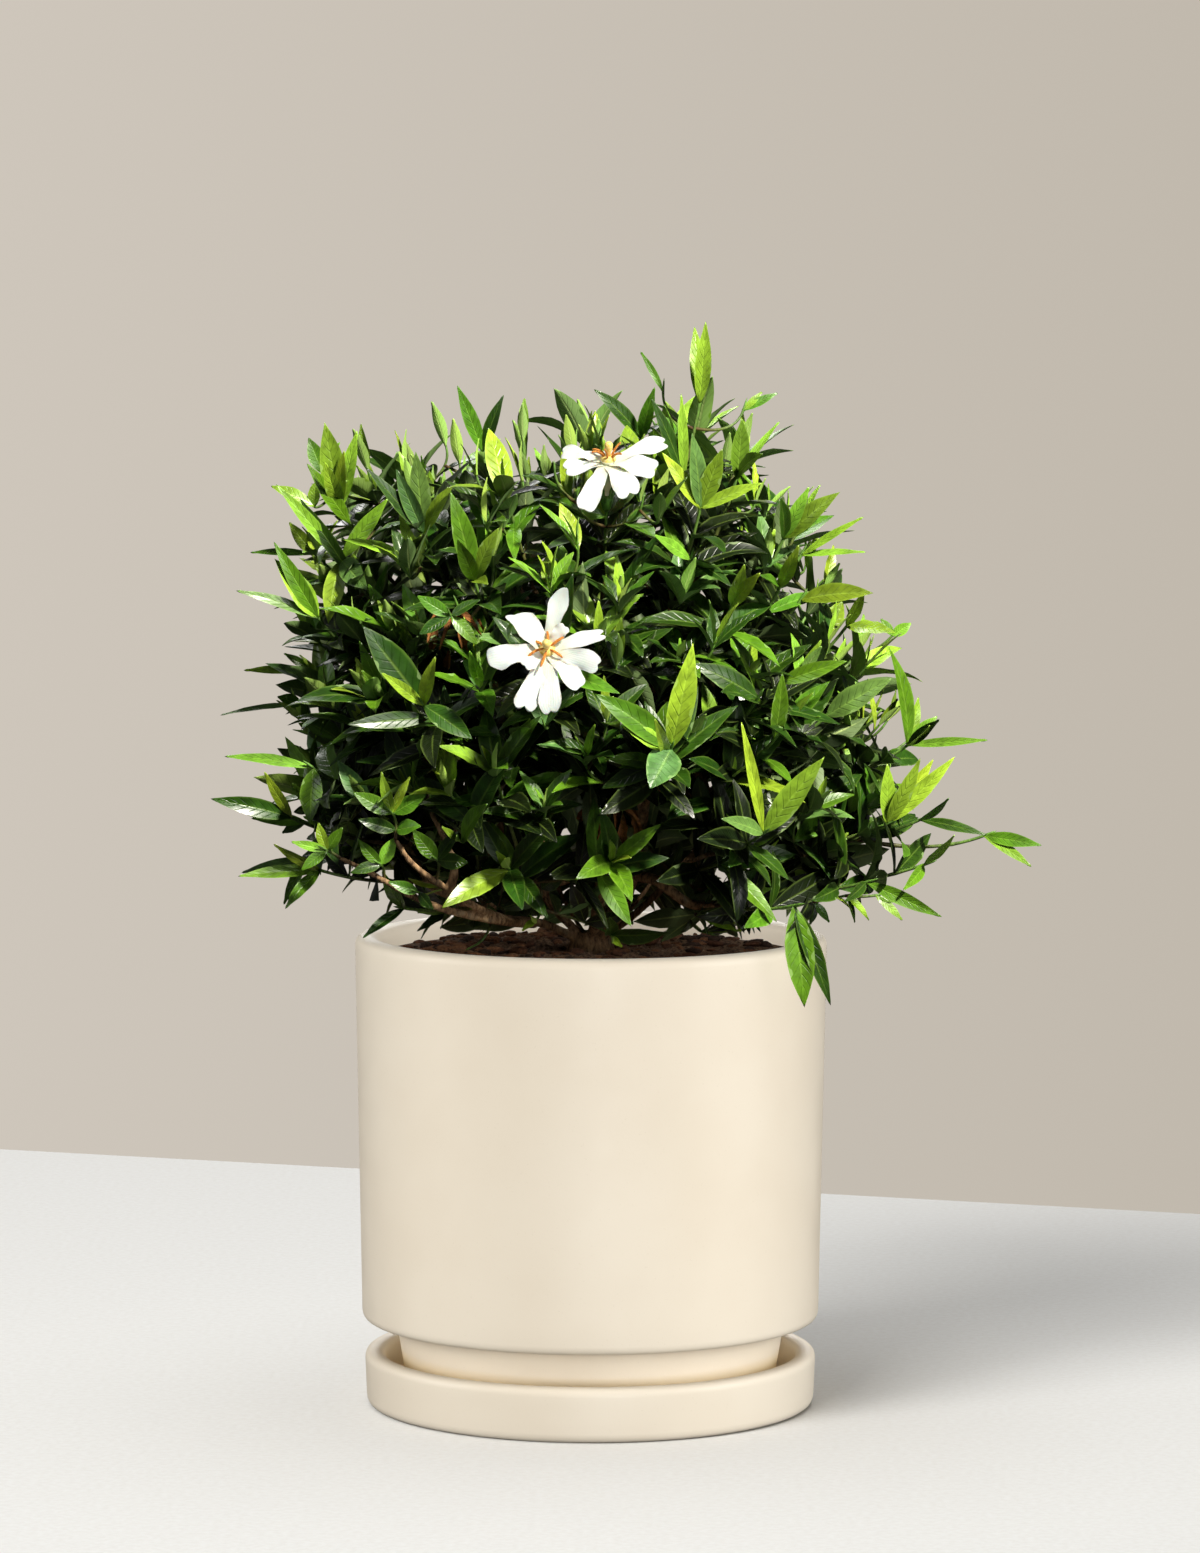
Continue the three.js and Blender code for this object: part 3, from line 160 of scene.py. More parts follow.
SEEN_LEAF = dict(shortest=25, slant=1.04, whorl=0.6, up=0.55, bend=(0.15, 0.6), roll=0.25)
RULED_LEAF = dict(
    length=(26, 39), slimness=(0.24, 0.31), aside=(-0.35, 0.35), top_tilt=(22, 50),
    low_tilt=(46, 74), turn=(-0.3, 0.1), bend=(0.15, 0.75),
)
SMALL_LEAF = dict(length=0.7, width=0.8)  # shares of the usual
OTHER_LEAF = 0.8  # share of the usual length that every other leaf of an extra shoot has
YOUNG_LEAF = dict(count=2, length=(11, 21), slimness=0.26, tilt=(0.12, 0.4))
WITHERED_BIT = dict(count=5, aside=13, back=8, deeper=4, down=12, length=(9, 19), width=(5, 9))
DRY_WIDTH = (0.35, 0.6)  # shares of a fresh leaf's
WHORL = dict(step=13, top=1.6, sides=4, most=3)
GREEN_STEM = dict(
    base_radius=0.95, node_radius=0.62, sides=7, bud=4, fork=0.3, foot=3, clear=9, extra=0.8,
    swelling=0.22, swelling_length=1.6, bow=0.45, tip="#5f8a35", woody="#5a4128",
)
STEM_BROWNING = 1.04  # share of brown at a green stem's foot, up to 1, with none at its node
BUD = dict(lengths=(2.6, 4.2), radii=(0.75, 0.12))  # radii are shares of the node's
# A stem or twig starts where its way costs least. Turns cost more, and so do starts that are too
# near its end or make it grow backwards.
STEM_PRICE = dict(turn=2.2, too_near=400)
TWIG_PRICE = dict(turn=3, backwards=1000)
TWIG = dict(tip_radius=1.05, growth=0.42, step=24, share=0.4, sag=2)
MAIN_STEM = dict(
    count=10, first_turn=0.5, lowest=252, rise=66, spread=0.42, stations=(0.18, 0.45, 0.72, 1),
    foot_radius=3, foot_rise=8, wander=0.14,
)
CROWN = dict(heights=(-26, -8, 2, 10), radii=(7, 11, 10.5, 8))  # heights above the soil's top
BARK = dict(grain=0.66, across=900, along=260, depth=0.22)  # ridges a metre, and their height

# Chance ranges of a blade's form, each with the key of its draw.
LEAF_RANGES = dict(
    fold=(0.14, 0.4, 21), twist=(-0.4, 0.4, 22), sweep=(-0.07, 0.07, 23), wave=(0.03, 0.13, 24),
    waves=(1.6, 3.4, 25), phase=(0, 6, 26), curl=(-0.15, 0.35, 27),
)
DRY_RANGES = dict(
    fold=(0.6, 1.1, 52), curl=(-0.6, 1.6, 53), wave=(0.25, 0.5, 54), twist=(-1.6, 1.6, 55),
)
PETAL_RANGES = dict(
    sweep=(-0.06, 0.06, 81), fold=(-0.25, 0.4, 82), wave=(0.2, 0.42, 83), waves=(1.3, 2.6, 84),
    phase=(0, 6, 85), ragged=(0.06, 0.16, 86),
)
ANTHER_RANGES = dict(length=(6, 8.5, 93), bend=(0.1, 1.2, 94), sweep=(-0.25, 0.25, 95))

# The eye that the plant is measured and shown from.
EYE = dict(distance=2325, height=452, down=4.55, right=0.09, roll=0.12, lens=127.8, sensor=36)

# Leaf colours as they look, in sRGB. The near-black inner tone is painted shade for leaves deep in
# the bush.
TONES = {
    "lime": "#9bc03a", "light": "#84b336", "olive": "#76972c", "mid": "#53801b",
    "grey": "#5e8448", "dark": "#294a0f", "brown": "#8a4a1c", "inner": "#131f08",
}
TINT = dict(light=(0.78, 1.2), warm=0.14)  # chance changes of a leaf's tone
# The share of shoots with young leaves, and how many more have them at the bush's edge, which
# starts so far aside or so high and is full after its fade.
EDGE = dict(aside=40, height=330, fade=70, young=0.06, more_young=0.3)
# Which tones leaves have, each up to a share of them. The inner tone in the lower, deepest and
# shaded tables is painted shade.
YOUNG_TONES = [(0.35, "lime"), (0.6, "light"), (1, "olive")]
OPEN_TONES = [(0.42, "dark"), (0.78, "mid"), (0.9, "grey"), (1, "olive")]
LOWER_TONES = [(0.35, "inner"), (0.85, "dark"), (1, "mid")]
DEEPEST_SHADE_TONES = [(1, "inner")]
SHADED_TONES = [(0.55, "inner"), (1, "dark")]
BUD_TONES = [(0.25, "lime"), (0.5, "light"), (0.75, "lime"), (1, "olive")]


def leaf(right, up, width, tone, depth=None):
    """A leaf's tip as seen from its node, its width, its tone and how far behind its tip lies."""
    return dict(right=right, up=up, width=width, tone=tone, depth=depth)


def shoot(right, height, depth, *leaves, start=None):
    """A shoot's node as seen on the upright plane through the axis, its leaves, and where its stem
    starts if that isn't on its spray."""
    leaves = [leaf(*one) for one in leaves]
    return dict(right=right, height=height, depth=depth, leaves=leaves, start=start)


def petal(angle, length, width, lift=14, curl=0.5, notch=0.04, twist=0.0):
    """A petal's angle in the flower's plane, its size, its rise and how far it rolls back."""
    return dict(
        angle=angle, length=length, width=width, lift=lift, curl=curl, notch=notch, twist=twist
    )


# The shoots that show best from the front, spray by spray.
FRONT_SPRAYS = [
    [shoot(-106.4, 381.8, -20, (-6, 34.5, 11, "olive"), (8, 31, 7, "lime"), (1, 23, 6, "lime"),
           (-5, 18, 7, "lime"), (-14, 17, 7, "mid"))],
    [shoot(-106.4, 360, -40, (-27.7, 29.4, 6, "light"), (21, 24, 7, "light"),
           (-4.7, -28.5, 9, "olive"), (11, -15, 10, "grey"), (-17, 24, 6, "dark"))],
    [shoot(-116.2, 335, -45, (-16.6, 24.7, 10, "lime"), (-18, 31, 7, "mid"),
           (-33.6, 11.5, 5, "grey"))],
    [shoot(-46.4, 405.6, -10, (-10, 26.4, 6.5, "mid"), (10.6, 21.7, 6, "dark"))],
    [shoot(-71.5, 371.2, -60, (-2, 33, 9, "grey"), (12.3, 19.6, 7, "lime"),
           (-11.5, 25.5, 7, "grey"), (-24, 26, 6, "dark"))],
    [shoot(-49.8, 350.8, -85, (-7.7, 37.4, 9.5, "mid"), (10, 21.7, 7.5, "olive"),
           (-7, 16.6, 7, "mid"), (6.4, -2.5, 6, "olive"))],
    [shoot(45.5, 426.1, -10, (2.6, 32.8, 7, "lime"), (-2.1, 30.6, 7, "lime", 6)),
     shoot(39.1, 394.6, -25, (-14, 32.8, 6, "dark"), (-2, 34, 4.5, "lime", -9))],
    [shoot(20.9, 411.2, -5, (-19.6, 20, 7, "dark"), (6, 20, 6, "mid"))],
    [shoot(46, 381.8, -60, (-3, 30.6, 8.5, "grey"), (9, 23.8, 8.5, "olive"),
           (-17.4, 21.3, 6.5, "lime"), (26, 9, 6, "lime")),
     shoot(42.1, 360.1, -72, (-16, 9, 5.5, "light"), (18, -12, 7, "dark"))],
    [shoot(61.3, 394.6, -30, (2.6, 23.8, 8, "olive"), (10.6, 8.5, 9, "mid"),
           (17, 23, 3.5, "light", 4))],
    [shoot(81.3, 369, -30, (23.4, 18.3, 9, "olive"), (10, 20.9, 6, "light"), (-2.5, 16, 7, "dark")),
     shoot(88.9, 362, -12, (26, 14.5, 3.5, "light"), (26.8, 0, 3.5, "light"))],
    [shoot(80, 348.6, -50, (9, 15.7, 6, "lime"), (-9, 3.5, 5, "mid")),
     shoot(88.9, 343.1, -40, (30, 2.6, 9, "olive"))],
    [shoot(59.6, 340.5, -80, (4.7, 16.6, 6.5, "lime"), (11, 13.6, 6.5, "lime"))],
    [shoot(108.5, 332, -20, (6, 14.5, 5.5, "lime"), (20, -4, 8, "olive"))],
    [shoot(134.9, 281.4, -20, (-7.2, 41.7, 9.5, "mid"), (8.5, 8, 5, "lime"), (32.8, 1, 4, "light"),
           (12, 10.6, 5, "dark"))],
    [shoot(126.4, 247.8, -45, (-1.3, 25, 7, "lime"), (11.5, 27.7, 7, "lime", -10),
           (18.3, 26.8, 7, "lime", 4), (26.8, 28.5, 7, "lime", -6))],
    [shoot(34, 279.7, -118, (9.4, 44, 11, "lime"), (-32, 24, 11, "mid"), (-20.9, 8, 8, "lime"),
           (-9, -18.3, 14, "grey"), (12.3, 25.5, 8, "dark", 10), (-30, -18, 8, "dark", 6),
           (-7.7, 11.5, 5, "lime"))],
    [shoot(71, 301.4, -95, (-29, 13.6, 10, "dark")),
     shoot(80, 307.8, -88, (28, 8, 7, "mid"))],
    [shoot(78.3, 284, -95, (2.6, 27, 7, "mid")),
     shoot(100, 293.8, -70, (26.8, 15.3, 10.5, "grey"))],
    [shoot(73.6, 243.5, -112, (24.7, 32.3, 10, "lime"), (-11, 46.8, 5, "lime"),
           (18, 18, 7, "dark", 8), (-18.7, 6.8, 7, "grey"))],
    [shoot(117.9, 222.7, -60, (30.6, -15.7, 6, "mid"), (-10.7, -9, 5, "dark")),
     shoot(142.5, 230.3, -50, (11.5, 12.3, 5, "lime"), (-10, -12, 5, "mid"))],
    [shoot(140.4, 249.5, -30, (27.2, -6.8, 5, "dark"), (10, 9, 4, "mid")),
     shoot(167.6, 242.7, -25, (23, -5.5, 6, "mid"), (19, -13.7, 4.5, "light"))],
    [shoot(87.2, 212.5, -76, (3, -43.8, 12.5, "mid", 4), (14.5, -43, 8, "dark", 8))],
    [shoot(-71.5, 298, -105, (-24.7, 33.6, 14, "dark"), (21.7, -14.9, 9.5, "dark"),
           (5, 20, 6, "lime"), (-17.4, 12.8, 5, "lime"), (-32, -10, 7, "dark"))],
    [shoot(-128, 249.9, -40, (-32.8, 9, 8, "dark"), (-26, 3.8, 6, "dark", 8),
           (-10, 19, 5, "lime"))],
    [shoot(-116.2, 227.4, -50, (-33.6, -2.6, 6, "light"), (-19, 9.8, 4.5, "lime"),
           (-12.8, -17.4, 6, "mid"))],
    [shoot(-118.7, 271.2, -55, (0, -24.7, 10, "mid"), (-36, 6, 5, "light", 10)),
     shoot(-114.5, 246.5, -58, (7.3, -17.5, 7, "dark"))],
    [shoot(-80.4, 211, -62, (-17, -12.5, 5, "dark"), (-8, 16, 6, "mid"))],
]

# Leaves that have withered inside the bush.
WITHERED = [
    [shoot(-57, 340, -92, (-7, -20, 7, "brown", -4), (4, -24, 7, "brown", 2),
           (10, -14, 6, "brown", -6))],
    [shoot(10, 258, -88, (-8, -18, 8, "brown", -4), (4, -22, 8, "brown", 2),
           (14, -15, 7, "brown", -6))],
]

# One shoot before the withered leaves, thin ones that stick out of the foliage, and young ones on
# the thin branches at the low left.
STRAY_SHOOTS = [
    shoot(-60, 336, -104, (-13, -9, 6, "dark", 0), (12, -13, 6, "mid", 2), (-14, 7, 6, "mid", 2),
          (13, 6, 5, "dark", 0)),
    shoot(30, 431, 10, (-10, 15, 3, "mid", 2)),
    shoot(64, 423, 10, (14, 6, 4, "mid", 2), (8, 6, 3, "light", 2)),
    shoot(-114, 396, 4, (-5, 14, 7, "mid", 0), (8, 12, 5, "light", 2)),
    shoot(-118, 382, 2, (-17, 8, 6, "light", 0), (2, 10, 6, "lime", -2)),
    shoot(-118, 362, 4, (-26, 0, 4, "mid", 2), (-10, 12, 6, "olive", -2)),
    shoot(-120, 313, 6, (-27, -2, 4, "light", 0), (-10, 6, 4, "mid", 0)),
    shoot(-124, 298, 8, (-33, -5, 3, "grey", 0), (-9, 2, 6, "mid", -3)),
    shoot(-122, 248, 8, (-22, 1, 6, "mid", 0), (-9, -5, 5, "grey", 3)),
    shoot(-122, 232, 8, (-26, -7, 5, "grey", 0), (-8, -20, 5, "mid", 3)),
    shoot(96, 214, 8, (5, -9, 4, "mid", 2), (-3, -10, 4, "dark", 0)),
    shoot(110, 217, 8, (8, -11, 4, "light", 0), (2, -12, 3, "mid", 2)),
    shoot(122, 217, 8, (10, -11, 4, "olive", 0), (9, -3, 4, "mid", 2)),
    shoot(128, 328, 6, (7, 4, 5, "light", 0), (-6, 6, 4, "mid", 0)),
    shoot(136, 284, 6, (10, 9, 5, "light", 0), (2, 17, 5, "lime", 2)),
    shoot(-85, 252, -97, (-4, 17, 5, "lime", -3), (8, 15, 4, "lime", 0), (-16, 8, 7, "mid", -3),
          (15, 7, 7, "mid", -2), (-14, -4, 6, "dark", -2), (13, -6, 7, "mid", -3),
          start=(-83, 240, -93)),
    shoot(-113, 236, -79, (-14, 3, 4, "light", 0), (-10, -9, 5, "mid", -2), (-3, 11, 5, "lime", 0),
          (8, 9, 5, "mid", -2), start=(-106, 232, -76)),
    shoot(-90, 230, -90, (-9, 10, 5, "mid", -2), (8, 11, 6, "light", -2), (-12, -4, 5, "dark", -2),
          start=(-88, 223, -84)),
    shoot(-66, 232, -89, (-9, 13, 7, "mid", -2), (10, 12, 6, "dark", -2), (14, -2, 7, "dark", -2),
          start=(-66, 222.5, -82)),
    shoot(-74, 218, -88, (-12, 4, 5, "mid", -2), (7, -8, 5, "dark", -2), start=(-72, 214, -80)),
]

FRONT_BLOOM = dict(
    name="front_bloom",
    right=-18.7,
    height=321,
    depth=-128,
    facing=(-0.05, -0.92, 0.38),
    clear=27,
    anther_rise=(0.2, 0.7),
    petals=[
        petal(78, 26, 9, 8, 0.2, 0.0, 0.35),
        petal(132, 20, 12.5, 24, 0.9, 0.02, -0.3),
        petal(190, 24, 10, notch=0.0),
        petal(252, 27, 10, 6, 0.25, 0.07, 0.15),
        petal(275, 28, 9.5, 12, 0.25, 0.05, -0.2),
        petal(310, 21, 9, notch=0.02, twist=0.25),
        petal(339, 22.5, 9, 20, notch=0.04, twist=-0.3),
        petal(15, 23.5, 7.5, 10, 0.35, 0.09, 0.2),
        petal(224, 13, 6.5, 34),
        petal(50, 12, 6, 40),
    ],
    leaves=[(8, 42, 9, "dark", -14), (30, -8, 8, "mid", -12), (-24, -20, 8, "dark", -10)],
)
TOP_BLOOM = dict(
    name="top_bloom",
    right=6.8,
    height=401,
    depth=-66,
    facing=(0.03, -0.45, 0.89),
    clear=25,
    anther_rise=(0.7, 1.3),
    petals=[
        petal(24, 26, 8.5, 18, 0.3, 0.06, -0.4),
        petal(70, 21, 10, -6, 0.9),
        petal(118, 21, 10, -4, 0.9),
        petal(163, 20, 8, 10, 0.5, twist=0.4),
        petal(194, 18, 9, 0, 0.3, 0.07, 0.35),
        petal(246, 25, 9, -22, 0.4, 0.03, 0.4),
        petal(300, 20, 11, -8, 0.5, 0.08, -0.3),
        petal(347, 20, 12, 2, 0.2, 0.05, -0.4),
    ],
    leaves=[(-30, 4, 8, "mid", -6), (22, 22, 7, "dark", 12), (-14, 26, 6, "lime", 14)],
)
BLOOMS = (FRONT_BLOOM, TOP_BLOOM)
BLOOM_DEPTH = 16  # behind a flower's mouth, so deep its petals reach
TUBE = dict(length=21, radii=(1.9, 1.9, 2.3, 3.4), flare=5)
ANTHERS = dict(count=6, first=0.4, stray=0.15, up=1.4, out=1.6)
ANTHER_FORM = dict(width=1.15, fold=0.3, thick=0.8, stalk=0.35)
# How a petal sits in its flower's mouth, and what its values in BLOOMS are multiplied by.
PETAL_SEAT = dict(deep=1.6, above=0.5, out=0.8)
PETAL_FORM = dict(bend=0.5, curl=0.6, twist=1.5, notch=1.3)
# Heights along a flower's axis, each with a radius.
THROAT = [(-3, 2.6), (0.2, 3.3), (1.4, 2.4), (1.9, 0.8)]
STIGMA = [(1, 0.9), (3, 1.2), (5, 1.7), (6.8, 1.8), (7.8, 1.2), (8.2, 0.3)]
CALYX = dict(
    cup=[(-3.5, 0.9), (-1.5, 1.9), (2, 2.7), (5, 2.5)], tone="#4f7f2c", lobes=6, up=4, out=2.3,
    lean=0.25, form=dict(length=10, width=1.6, bend=0.3),
)

# Brown branches that show at the low left: right, height, depth. Thin ones leave the first.
LOW_BRANCH = [
    (-21, 204.5, -12), (-42, 207, -26), (-60, 216, -38), (-80, 230, -46), (-92, 246, -48),
]
THIN_BRANCHES = [
    [(-24, 204.5, -14), (-37, 206.5, -46), (-50, 212, -66), (-64, 221, -80), (-76, 230, -89),
     (-83, 240, -93)],
    [(-24, 204.5, -14), (-34, 205, -46), (-50, 207.5, -62), (-64, 211, -76), (-78, 217, -84),
     (-92, 225, -84), (-106, 232, -76)],
    [(-60, 218.5, -75), (-58, 228, -79), (-62, 240, -78), (-68, 252, -74)],
]
THIN_BRANCH = dict(base_radius=2.2, tip_radius=1.0)
BRANCH_CLEAR = dict(aside=8, behind=6)

# The closed outline of the dense foliage as seen, clockwise from its low left.
SEEN_OUTLINE = [
    (-86, 198), (-100, 210), (-126, 218), (-122, 232), (-124, 246), (-132, 258), (-132, 272),
    (-128, 284), (-132, 298), (-130, 312), (-132, 330), (-134, 345), (-128, 362), (-128, 376),
    (-128, 392), (-120, 402), (-112, 416), (-102, 405), (-92, 398), (-76, 410), (-66, 400),
    (-57, 404), (-47, 412), (-38, 402), (-29, 400), (-20, 408), (-8, 410), (4, 410),
    (14, 422), (26, 426), (38, 420), (46, 426), (56, 414), (68, 416), (76, 396),
    (84, 386), (102, 386), (90, 370), (90, 352), (112, 348), (102, 335), (104, 324),
    (122, 326), (116, 312), (122, 300), (124, 288), (138, 278), (150, 276), (142, 260),
    (146, 245), (138, 232), (134, 216), (106, 212), (92, 198),
]

# ---------------------------------------------------------------- small helpers

UP = np.array([0.0, 0.0, 1.0])
RING_START = np.array([0.31, 0.43, 0.84])
TO_EYE = np.array([0.0, -1.0, 0.1]) / math.hypot(1, 0.1)
GOLDEN_ANGLE = math.pi * (3 - math.sqrt(5))
GOLDEN_SHARE = 0.618
WORD = 0xFFFFFFFF


def chance(*keys):
    """A random number from 0 to 1 that depends only on its whole-number keys."""
    h = SEED
    for key in keys:
        h = ((h ^ ((key + 0x9E3779B9) & WORD)) * 0x85EBCA6B) & WORD
        h ^= h >> 13
        h = (h * 0xC2B2AE35) & WORD
        h ^= h >> 16
    return h / 4294967296


def between(low, high, *keys):
    return low + (high - low) * chance(*keys)


def either_way(most, *keys):
    return between(-most, most, *keys)


def drawn(ranges, *keys):
    """A chance value from each named range."""
    return {name: between(low, high, *keys, key) for name, (low, high, key) in ranges.items()}


def lerp(a, b, t):
    return a + (b - a) * t


def unit(v):
    return v / np.linalg.norm(v)


def square_to(v, axis):
    """The part of v that is square to the unit vector axis, at length 1."""
    return unit(v - axis * v.dot(axis))


def turned(v, axis, angle):
    """v turned about a unit vector."""
    c, s = math.cos(angle), math.sin(angle)
    return v * c + np.cross(axis, v) * s + axis * axis.dot(v) * (1 - c)


def spoke(across, top, turn):
    """The way out from a flower's middle at an angle in its plane."""
    return across * math.cos(turn) + top * math.sin(turn)


def seen_at(right, height, depth):
    """Where a point seen on the plane y = 0 really is, once its depth is known."""
    scale = (EYE["distance"] + depth) / EYE["distance"]
    return np.array([right * scale, depth, EYE["height"] + (height - EYE["height"]) * scale])


def seen(point):
    """Where a point shows on the plane y = 0: how far to the right, and how high."""
    scale = EYE["distance"] / (EYE["distance"] + point[1])
    return point[0] * scale, EYE["height"] + (point[2] - EYE["height"]) * scale


def along(pairs, key):
    keys, values = zip(*pairs)
    return float(np.interp(key, keys, values))


def reach(height, azimuth):
    """The outline's distance from the axis at a height and an azimuth."""
    side = LEFT_REACH if math.cos(azimuth) < 0 else RIGHT_REACH
    wide = along(side, height)
    deep = DEPTH_SHARE * (along(LEFT_REACH, height) + along(RIGHT_REACH, height)) / 2
    return 1 / math.hypot(math.cos(azimuth) / wide, math.sin(azimuth) / deep)


def linear(colour):
    """A colour written as #rrggbb as the linear light that Blender uses."""
    shares = [int(colour[i : i + 2], 16) / 255 for i in (1, 3, 5)]
    return np.array([c / 12.92 if c <= 0.04045 else ((c + 0.055) / 1.055) ** 2.4 for c in shares])


def rgba(colour):
    return (*linear(colour), 1.0)


# ---------------------------------------------------------------- meshes


class Soup:
    """Gathers the parts of one mesh: points in millimetres, faces, and marks on them."""

    def __init__(self):
        self.count = 0
        self.points, self.faces, self.slots, self.under = [], [], [], []
        self.along, self.across, self.tone = [], [], []

    def add(self, points, faces, slot=0, under=None, along=0.0, across=0.0, tone=(1, 1, 1)):
        """faces has four corners a row; a triangle repeats its last corner."""
        n, m = len(points), len(faces)
        self.points.append(points)
        self.faces.append(np.asarray(faces) + self.count)
        self.slots.append(np.full(m, slot))
        self.under.append(np.zeros(m) if under is None else under)
        self.along.append(np.broadcast_to(along, n))
        self.across.append(np.broadcast_to(across, n))
        self.tone.append(np.broadcast_to(tone, (n, 3)))
        self.count += n

    def make(self, name, *materials):
        """The gathered parts as one smooth object, with its marks as attributes."""
        points, faces = np.concatenate(self.points) * MM, np.concatenate(self.faces)
        three = faces[:, 3] == faces[:, 2]
        totals = np.where(three, 3, 4)
        keep = np.ones_like(faces, bool)
        keep[:, 3] = ~three
        mesh = bpy.data.meshes.new(name)
        mesh.vertices.add(len(points))
        mesh.vertices.foreach_set("co", points.astype(np.float32).ravel())
        mesh.loops.add(int(totals.sum()))
        mesh.loops.foreach_set("vertex_index", faces[keep].astype(np.int32))
        mesh.polygons.add(len(faces))
        starts = np.concatenate([[0], np.cumsum(totals)[:-1]]).astype(np.int32)
        mesh.polygons.foreach_set("loop_start", starts)
        mesh.polygons.foreach_set("material_index", np.concatenate(self.slots).astype(np.int32))
        mesh.update(calc_edges=True)
        across, tone = np.concatenate(self.across), np.concatenate(self.tone)
        mark(mesh, "along", "FLOAT", "POINT", np.concatenate(self.along))
        mark(mesh, "across", "FLOAT", "POINT", across)
        mark(mesh, "under", "FLOAT", "FACE", np.concatenate(self.under))
        mark(mesh, "tone", "FLOAT_COLOR", "POINT", np.c_[tone, np.ones(len(tone))])
        sharpen_margins(mesh, across)
        mesh.polygons.foreach_set("use_smooth", np.ones(len(faces), bool))
        for material in materials:
            mesh.materials.append(material)
        return place(name, mesh)


def place(name, data):
    """A new object in the scene."""
    obj = bpy.data.objects.new(name, data)
    bpy.context.scene.collection.objects.link(obj)
    return obj


def mark(mesh, name, kind, domain, values):
    attribute = mesh.attributes.new(name, kind, domain)
    key = "color" if kind == "FLOAT_COLOR" else "value"
    attribute.data.foreach_set(key, np.asarray(values, np.float32).ravel())


def sharpen_margins(mesh, across):
    """Keeps a blade's upper and lower faces from being shaded into each other at its margins."""
    ends = np.empty(len(mesh.edges) * 2, np.int32)
    mesh.edges.foreach_get("vertices", ends)
    rim = (np.abs(across) > 0.999)[ends.reshape(-1, 2)]
    sharp = mesh.attributes.new("sharp_edge", "BOOLEAN", "EDGE")
    sharp.data.foreach_set("value", rim.all(axis=1))


def ring_faces(count, sides, capped=True):
    """Faces of a skin over so many rings of points that follow one another, with flat ends."""
    k, j = np.meshgrid(np.arange(count - 1), np.arange(sides), indexing="ij")
    a = (k * sides + j).ravel()
    b = (k * sides + (j + 1) % sides).ravel()
    faces = [np.c_[a, b, b + sides, a + sides]]
    if capped:
        fan = np.arange(1, sides - 1)
        zero = np.zeros_like(fan)
        last = (count - 1) * sides
        faces.append(np.c_[zero, fan + 1, fan, fan])
        faces.append(last + np.c_[zero, fan, fan + 1, fan + 1])
    return np.concatenate(faces)


def add_tube(soup, path, radii, sides, **marks):
    """A tube along a path of points, its rings turned as little as can be."""
    path = np.asarray(path)
    ahead = np.gradient(path, axis=0)
    ahead /= np.linalg.norm(ahead, axis=1)[:, None]
    turns = 2 * math.pi * np.arange(sides) / sides
    across = RING_START
    tube = []
    for at, way, radius in zip(path, ahead, radii):
        across = square_to(across, way)
        other = np.cross(way, across)
        ring = np.outer(np.cos(turns), across) + np.outer(np.sin(turns), other)
        tube.append(at + radius * ring)
    soup.add(np.concatenate(tube), ring_faces(len(path), sides), **marks)


# ---------------------------------------------------------------- blades

LEAF_STATIONS = np.array([0, 0.05, 0.12, 0.22, 0.33, 0.45, 0.57, 0.69, 0.8, 0.89, 0.96])
INNER_STATIONS = np.array([0, 0.08, 0.22, 0.42, 0.62, 0.8, 0.93])
LEAF_COLUMNS = np.array([-1, -0.62, -0.28, 0, 0.28, 0.62, 1])
INNER_COLUMNS = np.array([-1, -0.5, 0, 0.5, 1])
PETAL_STATIONS = np.array(
    [0, 0.06, 0.14, 0.23, 0.32, 0.42, 0.52, 0.62, 0.71, 0.79, 0.86, 0.915, 0.955, 0.98]
)
PETAL_COLUMNS = np.array([-1, -0.8, -0.55, -0.28, 0, 0.28, 0.55, 0.8, 1])
BLADE = dict(
    fold=0.24, curl=0.0, twist=0.0, sweep=0.0, wave=0.06, waves=2.5, phase=0.0, ragged=0.0,
    thick=0.35, stalk=0.55, notch=0.0, tone=(1, 1, 1),
)


def leaf_width(s):
    """A leaf's share of its widest half: pointed at both ends, longest at the tip."""
    widest, keen = 0.45, 2.05
    rising, falling = widest * keen, (1 - widest) * keen
    return (s / widest) ** rising * ((1 - s) / (1 - widest)) ** falling


def petal_width(s):
    """A petal's share of its widest half: a narrow claw, a broad blade and a round end."""
    broadest, claw = 0.76, 0.56
    base = claw + (1 - claw) * np.clip(s / broadest, 0, 1) ** 1.5
    end = np.sqrt(np.clip(1 - (np.clip(s - broadest, 0, 1) / (1 - broadest)) ** 2.8, 0, 1))
    return base * end


def anther_width(s):
    return np.sqrt(np.clip(1 - (2 * s - 1) ** 4, 0.05, 1))


def rows(shapes, key):
    return np.array([shape.get(key, BLADE.get(key)) for shape in shapes], float)


def dot(a, b):
    return (a * b).sum(-1, keepdims=True)


